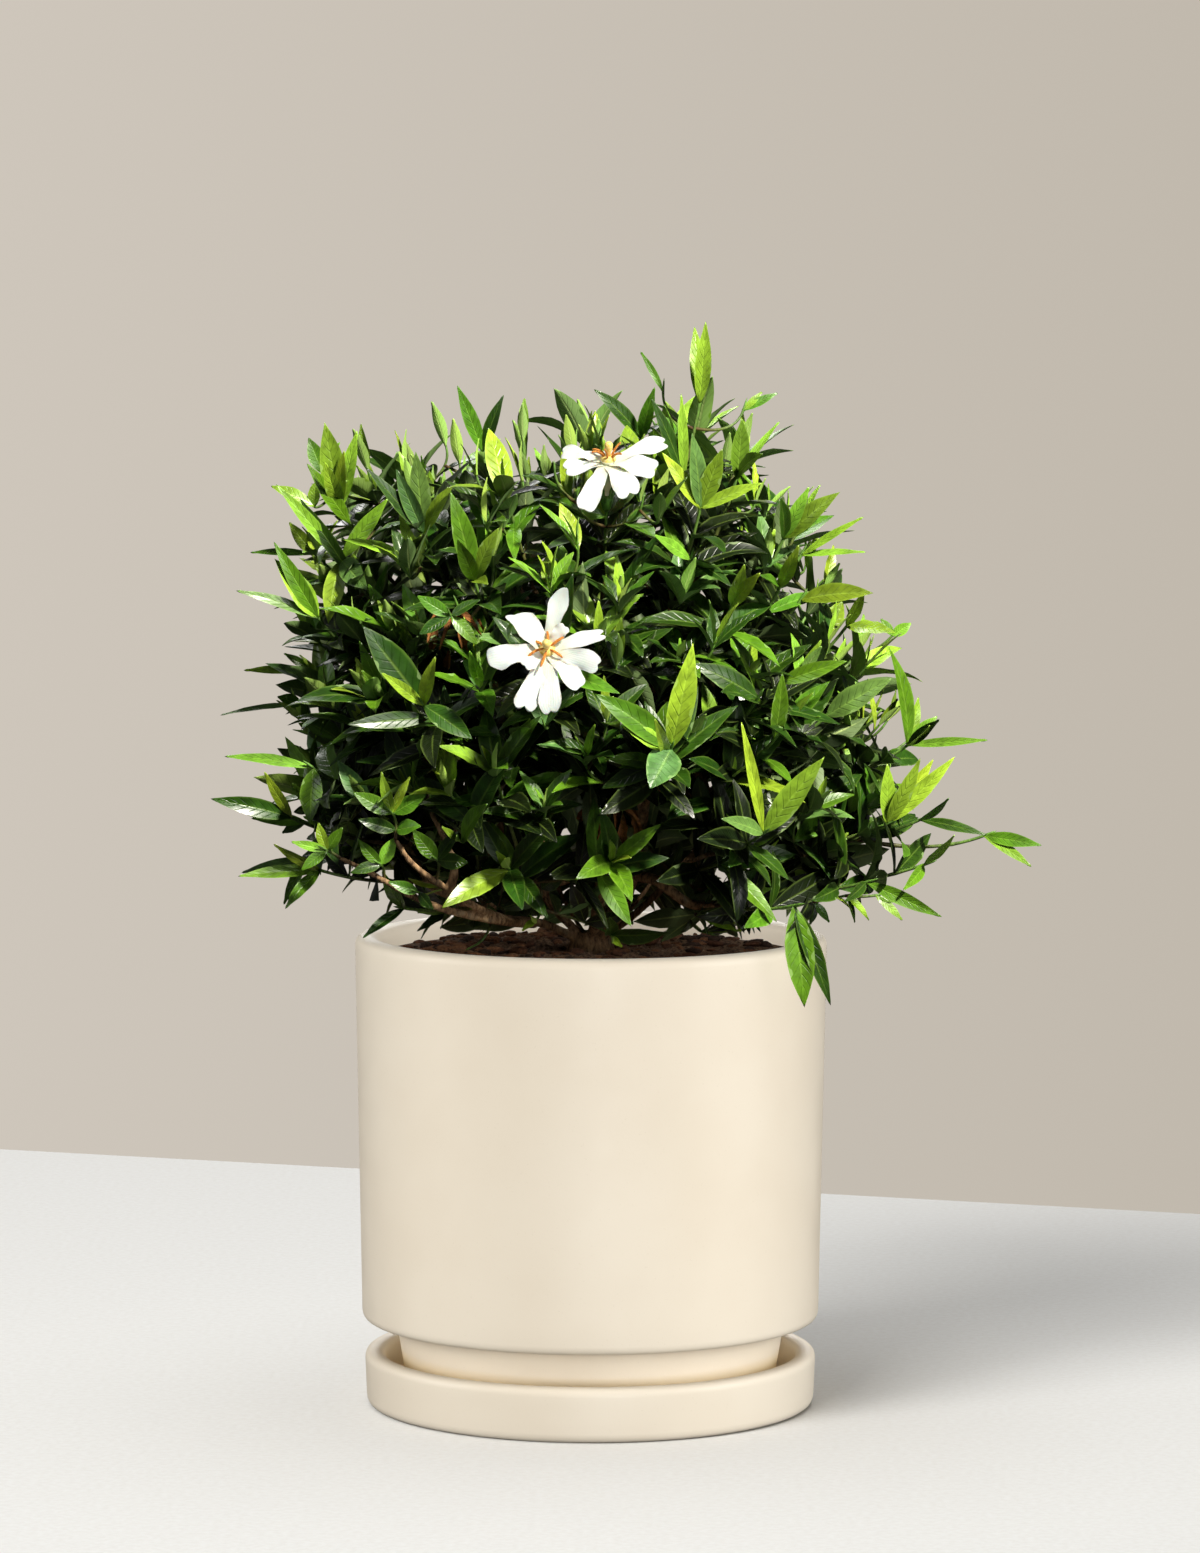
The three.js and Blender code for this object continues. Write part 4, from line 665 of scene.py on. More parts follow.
def blade_spines(shapes, s):
    """The points, the ways up and the ways across at the stations of each blade, and at its tip."""
    root, ahead, face = (rows(shapes, key) for key in ("root", "ahead", "face"))
    normal = face - ahead * dot(face, ahead)
    normal /= np.linalg.norm(normal, axis=1)[:, None]
    side = np.cross(ahead, normal)
    length, bend, curl, sweep, twist = (
        rows(shapes, key)[:, None] for key in ("length", "bend", "curl", "sweep", "twist")
    )
    whole = np.append(s, 1)
    middle, step = (whole[1:] + whole[:-1]) / 2, np.diff(whole)
    turn = bend * middle + curl * middle**3
    forth = np.cumsum(np.cos(turn) * step, axis=1)
    down = np.cumsum(np.sin(turn) * step, axis=1)
    forth, down = (np.c_[np.zeros(len(root)), x] * length for x in (forth, down))
    aside = sweep * length * whole**2
    spine = (
        root[:, None]
        + ahead[:, None] * forth[..., None]
        - normal[:, None] * down[..., None]
        + side[:, None] * aside[..., None]
    )
    turn = (bend * whole + curl * whole**3)[..., None]
    up = normal[:, None] * np.cos(turn) + ahead[:, None] * np.sin(turn)
    twist = (twist * whole)[..., None]
    across = side[:, None] * np.cos(twist) + up * np.sin(twist)
    up = up * np.cos(twist) - side[:, None] * np.sin(twist)
    return spine, up, across


def blade_rings(shapes, s, u, width_at):
    """Rings of points round each blade: its upper skin, then its lower one, and its tip."""
    spine, up, across = blade_spines(shapes, s)
    keys = "width fold wave waves phase ragged thick stalk notch length".split()
    width, fold, wave, waves, phase, ragged, thick, stalk, notch, length = (
        rows(shapes, key)[:, None, None] for key in keys
    )
    s2, u2 = s[None, :, None], u[None, None, :]
    right = u2 > 0
    bite = np.sin(2 * math.pi * (waves + 0.7) * s2 + 1.7 * phase + 1.9 * right) * s2
    half = np.maximum(width / 2 * width_at(s)[None, :, None] * (1 + ragged * bite), stalk)
    ripple = np.sin(2 * math.pi * waves * s2 + phase + 2.2 * right) * np.sin(math.pi * s2)
    rise = half * (fold * np.abs(u2) ** 1.4 + wave * u2**2 * ripple) * np.clip(s2 / 0.12, 0, 1)
    centre = spine[:, :-1, None] + across[:, :-1, None] * (half * u2)[..., None]
    centre = centre + up[:, :-1, None] * rise[..., None]
    if notch.any():
        pull = notch * length * np.exp(-((u2 / 0.4) ** 2)) * s2**8
        centre = centre - np.cross(up, across)[:, :-1, None] * pull[..., None]
    body = thick / 2 + np.maximum(stalk - thick / 2, 0) * np.clip(1 - s2 / 0.14, 0, 1)
    keel = 0.5 * thick * np.exp(-((u2 / 0.18) ** 2)) * (1 - s2)
    upper = centre + up[:, :-1, None] * (body * (1 - u2**2))[..., None]
    lower = centre - up[:, :-1, None] * ((body + keel) * (1 - u2**2))[..., None]
    end = spine[:, -1] - spine[:, -2]
    end /= np.linalg.norm(end, axis=-1, keepdims=True)
    tips = spine[:, -1] - (notch * length)[:, 0] * end
    return np.concatenate([upper, lower[:, :, -2:0:-1]], axis=2), tips


def blade_faces(stations, columns):
    """The faces of one blade, and which of them are on its lower side."""
    sides = 2 * columns - 2
    skin = ring_faces(stations, sides, capped=False)
    j = np.arange(sides)
    last = (stations - 1) * sides
    tip = np.full(sides, stations * sides)
    point = np.c_[last + j, last + (j + 1) % sides, tip, tip]
    i = np.arange(1, columns - 2)
    cap = np.c_[i, sides - i, sides - i - 1, i + 1]
    ends = [[0, sides - 1, 1, 1], [columns - 2, columns, columns - 1, columns - 1]]
    lower = (j >= columns - 1).astype(float)
    under = np.concatenate([np.tile(lower, stations), np.zeros(len(cap) + 2)])
    return np.concatenate([skin, point, cap, ends]), under


def add_blades(soup, shapes, s, u, width_at):
    """Thin closed blades: an upper and a lower skin that meet at the margins and the tip."""
    if not shapes:
        return
    n, stations, sides = len(shapes), len(s), 2 * len(u) - 2
    around, tips = blade_rings(shapes, s, u, width_at)
    points = np.concatenate([around.reshape(n, -1, 3), tips[:, None]], axis=1)
    faces, under = blade_faces(stations, len(u))
    per = stations * sides + 1
    round_u = np.concatenate([u, u[-2:0:-1]])
    soup.add(
        points.reshape(-1, 3),
        (faces[None] + per * np.arange(n)[:, None, None]).reshape(-1, 4),
        under=np.tile(under, n),
        along=np.tile(np.append(np.repeat(s, sides), 1), n),
        across=np.tile(np.append(np.tile(round_u, stations), 0), n),
        tone=np.repeat(rows(shapes, "tone"), per, axis=0),
    )


# ---------------------------------------------------------------- the plan of the shoots


def growth(node):
    """The way a shoot grows: away from the bush's heart, and a little more upwards."""
    outwards = unit(np.array([node[0], node[1], node[2] - HEART_HEIGHT]))
    return unit(outwards + UP * UPWARDS)


def plan_seen_shoot(shown, **marks):
    node = seen_at(shown["right"], shown["height"], shown["depth"])
    plan = dict(node=node, ahead=growth(node), leaves=[], keys=None, **marks)
    if shown["start"]:
        plan["start"] = seen_at(*shown["start"])
    for one in shown["leaves"]:
        span = math.hypot(one["right"], one["up"])
        whole = max(span * SEEN_LEAF["slant"], SEEN_LEAF["shortest"])
        towards = -math.sqrt(whole**2 - span**2)
        depth = shown["depth"] + (towards if one["depth"] is None else one["depth"])
        tip = seen_at(shown["right"] + one["right"], shown["height"] + one["up"], depth)
        plan["leaves"].append(dict(tip=tip, width=one["width"], tone=one["tone"]))
    return plan


def plan_rings(kind, placed):
    """Shoots in rings, but for those that a listed shoot already stands for."""
    plans = []
    for ring, (height, count) in enumerate(kind["pairs"]):
        key = ring + kind["layer"]
        for k in range(count):
            turn = k + kind["shift"] + either_way(RING_STRAY["turn"], key, k, 1)
            azimuth = ring * GOLDEN_ANGLE + 2 * math.pi * turn / count
            z = height + either_way(RING_STRAY["height"], key, k, 2)
            inset = kind["inset"]
            r = max(reach(z, azimuth) - inset - between(0, RING_STRAY["inset"], key, k, 3), 4)
            node = np.array([r * math.cos(azimuth), r * math.sin(azimuth), z])
            stray = [either_way(RING_STRAY["lean"], key, k, n) for n in (4, 5, 6)]
            if not any(stands_for(p["node"], node, kind) for p in placed):
                ahead = unit(growth(node) + stray)
                plan = dict(node=node, ahead=ahead, leaves=[], keys=(key, k), **kind["marks"])
                plans.append(plan)
    return plans


def stands_for(placed, node, kind):
    near = math.hypot(node[0] - placed[0], node[2] - placed[2]) < kind["aside"]
    return near and node[1] < placed[1] + kind["behind"]


def in_window(node, window):
    x, y, z = node
    near = abs(x - window["middle"]) < window["half"]
    return near and y < window["front"] and z < window["top"]


def finer_shoots(placed):
    """Shoots beyond those of the solids, which make the bush dense."""
    plans = []
    for kind in FINER_RINGS:
        for plan in plan_rings(kind, placed):
            if plan.get("raised"):
                plan["ahead"] = unit(plan["ahead"] + UP * EXTRA_UPWARDS)
            if not (kind["window"] and in_window(plan["node"], kind["window"])):
                plans.append(plan)
    plans += [plan_seen_shoot(s, bare=True) for s in STRAY_SHOOTS]
    return [dict(plan, extra=True) for plan in plans]


def group_rings(plans):
    """Ring shoots in groups of neighbours, each group a spray."""
    groups, left = [], list(plans)
    while left:
        first = left.pop(0)
        far = lambda p: np.linalg.norm(p["node"] - first["node"])
        nearest = sorted((p for p in left if far(p) < SPRAY["spread"]), key=far)
        nearest = nearest[: SPRAY["shoots"] - 1]
        left = [p for p in left if not any(p is q for q in nearest)]
        groups.append([first, *nearest])
    return groups


def bloom_frame(bloom):
    """Where a flower's tube opens, the way it faces, its right, its top and its tube's foot."""
    mouth = seen_at(bloom["right"], bloom["height"], bloom["depth"])
    axis = unit(np.array(bloom["facing"], float))
    across = square_to(np.array([1.0, 0, 0]), axis)
    top = np.cross(axis, across)
    return mouth, axis, across, top, mouth - axis * TUBE["length"]


def bloom_shoot(bloom):
    """The leafy shoot that a flower ends."""
    _, axis, _, _, foot = bloom_frame(bloom)
    node = foot - axis * (GREEN_STEM["bud"] + GAP)
    scale = (EYE["distance"] + node[1]) / EYE["distance"]
    plan = dict(node=node, ahead=axis, leaves=[], keys=None)
    for right, up, width, tone, depth in bloom["leaves"]:
        tip = node + np.array([right * scale, depth, up * scale])
        plan["leaves"].append(dict(tip=tip, width=width, tone=tone))
    return plan


def spray_base(plans):
    """Where a spray leaves its woody twig: some way back from its first shoot's node."""
    first = plans[0]
    x, y, z = first["node"]
    inward = np.array([-x, -y, (HEART_HEIGHT - z) * SPRAY_BASE["climb"]])
    span = min(SPRAY_BASE["back"], np.linalg.norm(inward) * SPRAY_BASE["share"])
    direction = unit(unit(inward) - first["ahead"] * SPRAY_BASE["follow"])
    at = first["node"] + direction * span
    at[2] = max(at[2], SOIL["top"] + SPRAY_BASE["rise"])
    return dict(at=at, ahead=unit(first["node"] - at))


def plan_plant():
    """Every spray of the frame with its shoots, and the places where sprays leave the wood."""
    sprays = []

    def add(node, plans, withered=False):
        base = spray_base(plans)
        number = len(sprays)
        sprays.append(dict(node=node, plans=plans, base=base, withered=withered, number=number))

    for bloom in BLOOMS:
        add("spray_" + bloom["name"], [bloom_shoot(bloom)])
    for i, shoots in enumerate(FRONT_SPRAYS, 1):
        add(f"spray_front_{i:02d}", [plan_seen_shoot(s) for s in shoots])
    for i, shoots in enumerate(WITHERED, 1):
        add(f"withered_leaves_{i:02d}", [plan_seen_shoot(s) for s in shoots], withered=True)
    placed = [plan for spray in sprays for plan in spray["plans"]]
    for i, plans in enumerate(group_rings(plan_rings(SHOOT_RINGS, placed)), 1):
        add(f"spray_round_{i:02d}", plans)
    bases = [spray["base"] for spray in sprays]
    sprays = [spray for spray in sprays if spray["node"] in frame["nodes"]]
    carriers = [spray for spray in sprays if not spray["withered"]]
    for plan in finer_shoots(placed):
        near = lambda s: min(np.linalg.norm(p["node"] - plan["node"]) for p in s["plans"][:4])
        min(carriers, key=near)["plans"].append(plan)
    return sprays, bases


# ---------------------------------------------------------------- wood


def add_joint(joints, parent, at, twig=False):
    joint = dict(at=at, parent=parent, children=[], load=0, twig=twig)
    parent["children"].append(joint)
    joints.append(joint)
    return joint


def grow_main_stems(joints, heart):
    foot = SOIL["top"] + MAIN_STEM["foot_rise"]
    for k in range(MAIN_STEM["count"]):
        azimuth = k * GOLDEN_ANGLE + MAIN_STEM["first_turn"]
        top = MAIN_STEM["lowest"] + MAIN_STEM["rise"] * (k * GOLDEN_SHARE % 1)
        wide = MAIN_STEM["spread"] * reach(top, azimuth)
        last = heart
        for share in MAIN_STEM["stations"]:
            r = wide * share**0.8 + MAIN_STEM["foot_radius"]
            turn = azimuth + MAIN_STEM["wander"] * math.sin(3 * share + k)
            z = lerp(foot, top, share**1.1)
            last = add_joint(joints, last, np.array([r * math.cos(turn), r * math.sin(turn), z]))
    low = heart
    for point in LOW_BRANCH:
        low = add_joint(joints, low, seen_at(*point))


def carry(joints, trunk, heart, base):
    """Grows a twig to a spray's base from the joint that offers the shortest, straightest way."""
    at, ahead = base["at"], base["ahead"]
    from_heart = lambda p: np.linalg.norm(p - heart["at"])

    def price(joint):
        step = at - joint["at"]
        length = np.linalg.norm(step)
        back = from_heart(joint["at"]) + MAIN_STEM["foot_rise"] > from_heart(at)
        dear = TWIG_PRICE["backwards"] if back else TWIG_PRICE["turn"] - step.dot(ahead) / length
        return length * dear

    last = best = min(trunk + [j for j in joints if j["twig"]], key=price)
    span = np.linalg.norm(at - best["at"])
    before = at - ahead * min(TWIG["step"], span * TWIG["share"])
    if span > TWIG["step"] / TWIG["share"]:
        middle = lerp(best["at"], before, 0.5) + UP * TWIG["sag"]
        last = add_joint(joints, last, middle, twig=True)
    last = add_joint(joints, last, before, twig=True)
    return add_joint(joints, last, at)


def grow_wood(bases):
    """The woody skeleton: joints that know their parent and how many sprays they carry."""
    root = np.array([0, 0, SOIL["top"] + 4.0])
    heart = dict(at=root, parent=None, children=[], load=0, twig=False)
    joints = [heart]
    grow_main_stems(joints, heart)
    trunk = joints[1:]
    outwards = lambda b: np.linalg.norm(b["at"] - heart["at"])
    for base in sorted(bases, key=outwards):
        base["joint"] = carry(joints, trunk, heart, base)
    for base in bases:
        joint = base["joint"]
        while joint:
            joint["load"] += 1
            joint = joint["parent"]
    return heart


def wood_radius(joint):
    return TWIG["tip_radius"] * joint["load"] ** TWIG["growth"]


def wood_chains(heart):
    """Lines of joints, each from a fork to the end of its heaviest branch."""
    chains = []

    def follow(start, first):
        chain = [start, first]
        joint = first
        while True:
            used = sorted((c for c in joint["children"] if c["load"]), key=lambda c: -c["load"])
            if not used:
                break
            for other in used[1:]:
                follow(joint, other)
            joint = used[0]
            chain.append(joint)
        chains.append(chain)

    for child in heart["children"]:
        if child["load"]:
            follow(heart, child)
    return chains


def smooth_path(points, steps):
    """A Catmull-Rom curve through points, with so many steps between neighbours."""
    p = np.array([2 * points[0] - points[1], *points, 2 * points[-1] - points[-2]])
    t = np.linspace(0, 1, steps, endpoint=False)[:, None]
    path = []
    for a, b, c, d in zip(p, p[1:], p[2:], p[3:]):
        square, cube = 2 * a - 5 * b + 4 * c - d, 3 * b - a - 3 * c + d
        path.append(0.5 * (2 * b + (c - a) * t + square * t**2 + cube * t**3))
    return np.concatenate([*path, points[-1:]])


def smooth_values(values, steps):
    places = np.linspace(0, len(values) - 1, (len(values) - 1) * steps + 1)
    return np.interp(places, np.arange(len(values)), values)


def make_wood(bases, material):
    """The crown, stems and twigs, fused to one skin with rough bark."""
    soup = Soup()
    crown = [np.array([0, 0, SOIL["top"] + z]) for z in CROWN["heights"]]
    add_tube(soup, smooth_path(crown, 4), smooth_values(CROWN["radii"], 4), 16)
    for chain in wood_chains(grow_wood(bases)):
        path = smooth_path([joint["at"] for joint in chain], 7)
        radii = [wood_radius(joint) for joint in chain]
        radii[0] = radii[1]
        add_tube(soup, path, smooth_values(radii, 7), 10)
    for points in THIN_BRANCHES:
        path = smooth_path([seen_at(*point) for point in points], 7)
        radii = np.linspace(THIN_BRANCH["base_radius"], THIN_BRANCH["tip_radius"], len(path))
        add_tube(soup, path, radii, 10)
    piece = soup.make("woody_stems_bark", material)
    fuse(piece)
    roughen(piece)
    return dress(piece, "bark", "woody_stems")


def fuse(piece):
    modifier = piece.modifiers.new("fuse", "REMESH")
    modifier.mode, modifier.voxel_size = "VOXEL", BARK["grain"] * MM
    modifier.use_smooth_shade = True
    smooth = piece.modifiers.new("smooth", "SMOOTH")
    smooth.factor, smooth.iterations = 0.5, 3
    graph = bpy.context.evaluated_depsgraph_get()
    mesh = bpy.data.meshes.new_from_object(piece.evaluated_get(graph))
    piece.modifiers.clear()
    piece.data = mesh


def roughen(piece):
    """Bark ridges: small moves of the skin along its normals."""
    mesh = piece.data
    co, normals = (np.empty(len(mesh.vertices) * 3, np.float32) for _ in range(2))
    mesh.vertices.foreach_get("co", co)
    mesh.vertices.foreach_get("normal", normals)
    co, normals = co.reshape(-1, 3), normals.reshape(-1, 3)
    wide, long = BARK["across"], BARK["along"]
    rough = [noise.noise(Vector((x * wide, y * wide, z * long))) for x, y, z in co.tolist()]
    co = co + normals * (np.array(rough) * BARK["depth"] * MM)[:, None]
    mesh.vertices.foreach_set("co", co.astype(np.float32).ravel())
    mesh.update()


# ---------------------------------------------------------------- green stems and leaves


def stem_path(start, plan, steps=14):
    """A bowed line from start to a shoot's node that arrives the way the shoot grows."""
    length = np.linalg.norm(plan["node"] - start)
    control = plan["node"] - plan["ahead"] * GREEN_STEM["bow"] * length
    t = np.linspace(0, 1, steps)[:, None]
    return (1 - t) ** 2 * start + 2 * t * (1 - t) * control + t**2 * plan["node"]


def back_along(path, back):
    """The point so far back from a path's end, and the way the path goes there."""
    steps = np.linalg.norm(np.diff(path, axis=0), axis=1)
    gone = np.concatenate([[0], np.cumsum(steps)])
    at = max(gone[-1] - back, 0)
    point = np.array([np.interp(at, gone, path[:, i]) for i in range(3)])
    k = min(np.searchsorted(gone, at, side="right"), len(path) - 1)
    return point, unit(path[k] - path[k - 1])


def tinted(tone, *keys):
    """A leaf colour with a small chance turn in lightness and warmth."""
    colour = linear(TONES[tone]) * between(*TINT["light"], *keys, 31)
    warm = either_way(TINT["warm"], *keys, 32)
    return colour * np.array([1 + warm, 1, 0.8 - warm])


def leaf_shape(root, ahead, face, length, width, tone, keys, **extra):
    """One leaf's whole shape, with its small chance twists and waves."""
    shape = dict(root=root, ahead=ahead, face=face, length=length, width=width, bend=0.25)
    return {**shape, **drawn(LEAF_RANGES, *keys), "tone": tinted(tone, *keys), **extra}


def seen_leaf(plan, path, number, one, keys):
    """A leaf whose tip was measured: it starts on its stem, and its bent blade ends at the tip."""
    whorl = number // WHORL["sides"]
    root, _ = back_along(path, WHORL["top"] + whorl * WHORL["step"] * SEEN_LEAF["whorl"])
    chord = one["tip"] - root
    span = np.linalg.norm(chord)
    ahead = chord / span
    face = square_to(plan["ahead"] * SEEN_LEAF["up"] + TO_EYE, ahead)
    bend = between(*SEEN_LEAF["bend"], *keys, 28)
    raised = ahead * math.cos(bend / 2) + face * math.sin(bend / 2)
    length = span * (bend / 2) / math.sin(bend / 2)
    face = turned(face, ahead, either_way(SEEN_LEAF["roll"], *keys, 29))
    return leaf_shape(
        root, raised, face, length, one["width"], one["tone"], keys, bend=bend, curl=0.0, sweep=0.0
    )


def ruled_leaf(plan, path, keys, number):
    """A leaf by the rule: four round the node, then four further down, and so on."""
    draw = lambda name, key: between(*RULED_LEAF[name], *keys, number * 8 + key)
    whorl, side = divmod(number, WHORL["sides"])
    around = 2 * math.pi * (side + 0.5) / WHORL["sides"] + draw("aside", 10)
    tilt = math.radians(draw("low_tilt" if whorl else "top_tilt", 11))
    root, way = back_along(path, WHORL["top"] + whorl * WHORL["step"])
    axis = plan["ahead"] if whorl < 2 else way
    out = turned(square_to(RING_START, axis), axis, around)
    ahead = axis * math.cos(tilt) + out * math.sin(tilt)
    length = draw("length", 12)
    width = length * draw("slimness", 14)
    if plan.get("small"):
        length *= SMALL_LEAF["length"]
        width *= SMALL_LEAF["width"]
    elif plan.get("extra") and number % 2 == 0:
        length *= OTHER_LEAF
    return leaf_shape(
        root, ahead, axis + out * draw("turn", 13), length, width,
        ruled_tone(plan, keys, number), (*keys, number), bend=draw("bend", 15),
    )


def ruled_tone(plan, keys, number):
    """Young leaves are bright, more often near the bush's outline; lower and shaded ones are dark,
    down to a near-black painted shade.
    """
    x, _, z = plan["node"]
    aside, above = max(abs(x) - EDGE["aside"], 0), max(z - EDGE["height"], 0)
    edge = min(1, aside / EDGE["fade"] + above / EDGE["fade"])
    young = chance(*keys, 41) < EDGE["young"] + EDGE["more_young"] * edge
    tones = YOUNG_TONES if young else OPEN_TONES
    if number >= WHORL["sides"]:
        tones = LOWER_TONES if number < 2 * WHORL["sides"] else DEEPEST_SHADE_TONES
    return pick_tone(SHADED_TONES if plan.get("shaded") else tones, *keys, number, 42)


def pick_tone(tones, *keys):
    pick = chance(*keys)
    return next(tone for share, tone in tones if pick < share)


def young_leaf(plan, number, keys):
    """A small upright leaf beside a shoot's bud."""
    axis = plan["ahead"]
    around = math.pi * number + between(0, 3, *keys, 1)
    out = turned(square_to(RING_START, axis), axis, around)
    tilt = between(*YOUNG_LEAF["tilt"], *keys, number, 2)
    ahead = axis * math.cos(tilt) + out * math.sin(tilt)
    length = between(*YOUNG_LEAF["length"], *keys, number, 3)
    return leaf_shape(
        plan["node"] + axis, ahead, axis * 0.2 - out, length, length * YOUNG_LEAF["slimness"],
        pick_tone(BUD_TONES, *keys, number, 4), (*keys, number), bend=-0.15, curl=0.3,
    )


def withered_bits(plan, key):
    """Smaller withered leaves that hang every way about a shoot's node."""
    bits, bit = [], WITHERED_BIT
    for k in range(bit["count"]):
        aside, deeper, down = (either_way(1, key, k, n) for n in (61, 62, 63))
        way = unit(np.array([aside * 0.5, deeper * 0.5, -1.0]))
        back, below = bit["back"] + deeper * bit["deeper"], down * bit["down"] - bit["down"]
        root = plan["node"] + np.array([aside * bit["aside"], back, below])
        length, width = between(*bit["length"], key, k, 64), between(*bit["width"], key, k, 65)
        face = square_to(TO_EYE, way)
        bits.append(leaf_shape(root, way, face, length, width, "brown", (key, k)))
    return bits


def crumple(shapes):
    """Curls, folds and narrows leaves as they dry."""
    for k, shape in enumerate(shapes):
        width = shape["width"] * between(*DRY_WIDTH, k, 51)
        shape.update(width=width, ragged=0.2, **drawn(DRY_RANGES, k))


# ---------------------------------------------------------------- room for the leaves


def hides_flower(line):
    """True if any point of a line stands before a flower's petals, as seen."""
    return any(
        math.dist(seen(p), (bloom["right"], bloom["height"])) < bloom["clear"]
        and p[1] < bloom["depth"] + BLOOM_DEPTH
        for bloom in BLOOMS
        for p in line
    )


def in_pot(line):
    """True if any point of a line is in the pot's wall or under its soil."""
    over_soil = SOIL["top"] + POT_ROOM["above_soil"]
    over_lip = POT["height"] + POT_ROOM["above_lip"]
    clear = POT["rim_radius"] - POT["wall"] - POT_ROOM["inside"]
    for p in line:
        r = math.hypot(p[0], p[1])
        ground = over_soil if r < clear else over_lip
        if r < POT["rim_radius"] + POT_ROOM["outside"] and p[2] < ground:
            return True
    return False


def branch_points():
    """Points along the branches that show at the low left: right, height, depth."""
    lines = [np.array(line, float) for line in (LOW_BRANCH, *THIN_BRANCHES)]
    pairs = [pair for line in lines for pair in zip(line, line[1:])]
    return np.array([lerp(a, b, t) for a, b in pairs for t in (0, 0.33, 0.66)])


BRANCH_POINTS = branch_points()


def hides_branch(line):
    """True if any point of a line stands before one of those branches."""
    for p in line:
        near = np.hypot(*(BRANCH_POINTS[:, :2] - seen(p)).T) < BRANCH_CLEAR["aside"]
        if (near & (p[1] < BRANCH_POINTS[:, 2] + BRANCH_CLEAR["behind"])).any():
            return True
    return False


def in_seen_outline(point):
    """True if a point, as seen, is inside the bush's own outline in the picture."""
    right, height = seen(point)
    inside = False
    for (x1, z1), (x2, z2) in zip(SEEN_OUTLINE, SEEN_OUTLINE[1:] + SEEN_OUTLINE[:1]):
        if (z1 > height) != (z2 > height):
            inside ^= right < x1 + (height - z1) / (z2 - z1) * (x2 - x1)
    return inside


def in_outline(tip):
    """True if a tip keeps to the bush's outline, which is uneven away from the front."""
    x, y, z = tip
    hidden = min(max((y - OUTLINE["lump_start"]) / OUTLINE["lump_fade"], 0), 1)
    lump = noise.noise(Vector(tip) / OUTLINE["lump_size"]) * OUTLINE["lump_height"] * hidden
    allowed = reach(z - lump * 0.5, math.atan2(y, x)) + OUTLINE["slack"] + lump
    return math.hypot(x, y) < allowed and z < OUTLINE["top"]


def leaf_line(shape):
    """Three points along a leaf, near enough to keep it clear of things."""
    tip = shape["root"] + shape["ahead"] * shape["length"]
    return [lerp(shape["root"], tip, t) for t in (0.35, 0.7, 1)]


def has_room(shape):
    line = leaf_line(shape)
    return not in_pot(line) and not hides_flower(line)


def is_fit(shape, plan, number):
    """True if a leaf by the rule may grow. The top whorl on the solids' own shoots only needs room;
    the rest also keep the branches in view and stay in the outline."""
    if number >= WHORL["sides"] or plan.get("extra"):
        line = leaf_line(shape)
        if hides_branch(line) or not in_seen_outline(line[-1]):
            return False
        if plan.get("extra") and not plan.get("loose") and not in_outline(line[-1]):
            return False
    return has_room(shape)


# ---------------------------------------------------------------- sprays


def add_stem(soup, path, thin):
    """A green stem, brown at its foot, with a small swelling at each whorl and a bud."""
    base_radius, node_radius = GREEN_STEM["base_radius"] * thin, GREEN_STEM["node_radius"] * thin
    steps = np.linalg.norm(np.diff(path, axis=0), axis=1)
    back = steps.sum() - np.concatenate([[0], np.cumsum(steps)])
    share = back / back[0]
    radii = lerp(node_radius, base_radius, share)
    past = (back - WHORL["top"]) % WHORL["step"] / GREEN_STEM["swelling_length"]
    radii = radii * (1 + GREEN_STEM["swelling"] * np.exp(-(past**2)))
    ahead = unit(path[-1] - path[-2])
    path = np.concatenate([path, [path[-1] + ahead * length for length in BUD["lengths"]]])
    radii = np.append(radii, [node_radius * thick for thick in BUD["radii"]])
    brown = np.clip(np.append(share, [0, 0])[:, None] * STEM_BROWNING, 0, 1)
    tone = lerp(linear(GREEN_STEM["tip"]), linear(GREEN_STEM["woody"]), brown)
    sides = GREEN_STEM["sides"]
    add_tube(soup, path, radii, sides, slot=1, tone=np.repeat(tone, sides, axis=0))


def nearest_start(paths, plan):
    """The best point of a spray's stems for one more shoot to leave from."""
    points = np.concatenate([path[:-2] for path in paths])
    step = plan["node"] - points
    far = np.linalg.norm(step, axis=1)
    lean = (step / far[:, None]).dot(plan["ahead"])
    too_near = far < GREEN_STEM["clear"]
    price = far * (STEM_PRICE["turn"] - lean) + STEM_PRICE["too_near"] * too_near
    return points[np.argmin(price)]


def stem_start(spray, plan, paths):
    if "start" in plan:
        return plan["start"]
    if plan.get("extra"):
        return nearest_start(paths, plan)
    if paths:
        return paths[0][int(len(paths[0]) * GREEN_STEM["fork"])]
    return spray["base"]["at"] + spray["base"]["ahead"] * GAP


def ruled_leaves(plan, path, keys):
    """A shoot's leaves by the rule, with their numbers."""
    length = np.linalg.norm(np.diff(path, axis=0), axis=1).sum()
    whorls = int(min((length - GREEN_STEM["foot"]) / WHORL["step"] + 1, WHORL["most"]))
    first = WHORL["sides"] if plan["leaves"] else 0
    for n in range(first, max(whorls, 1) * WHORL["sides"]):
        shape = ruled_leaf(plan, path, keys, n)
        if is_fit(shape, plan, n):
            yield n, shape


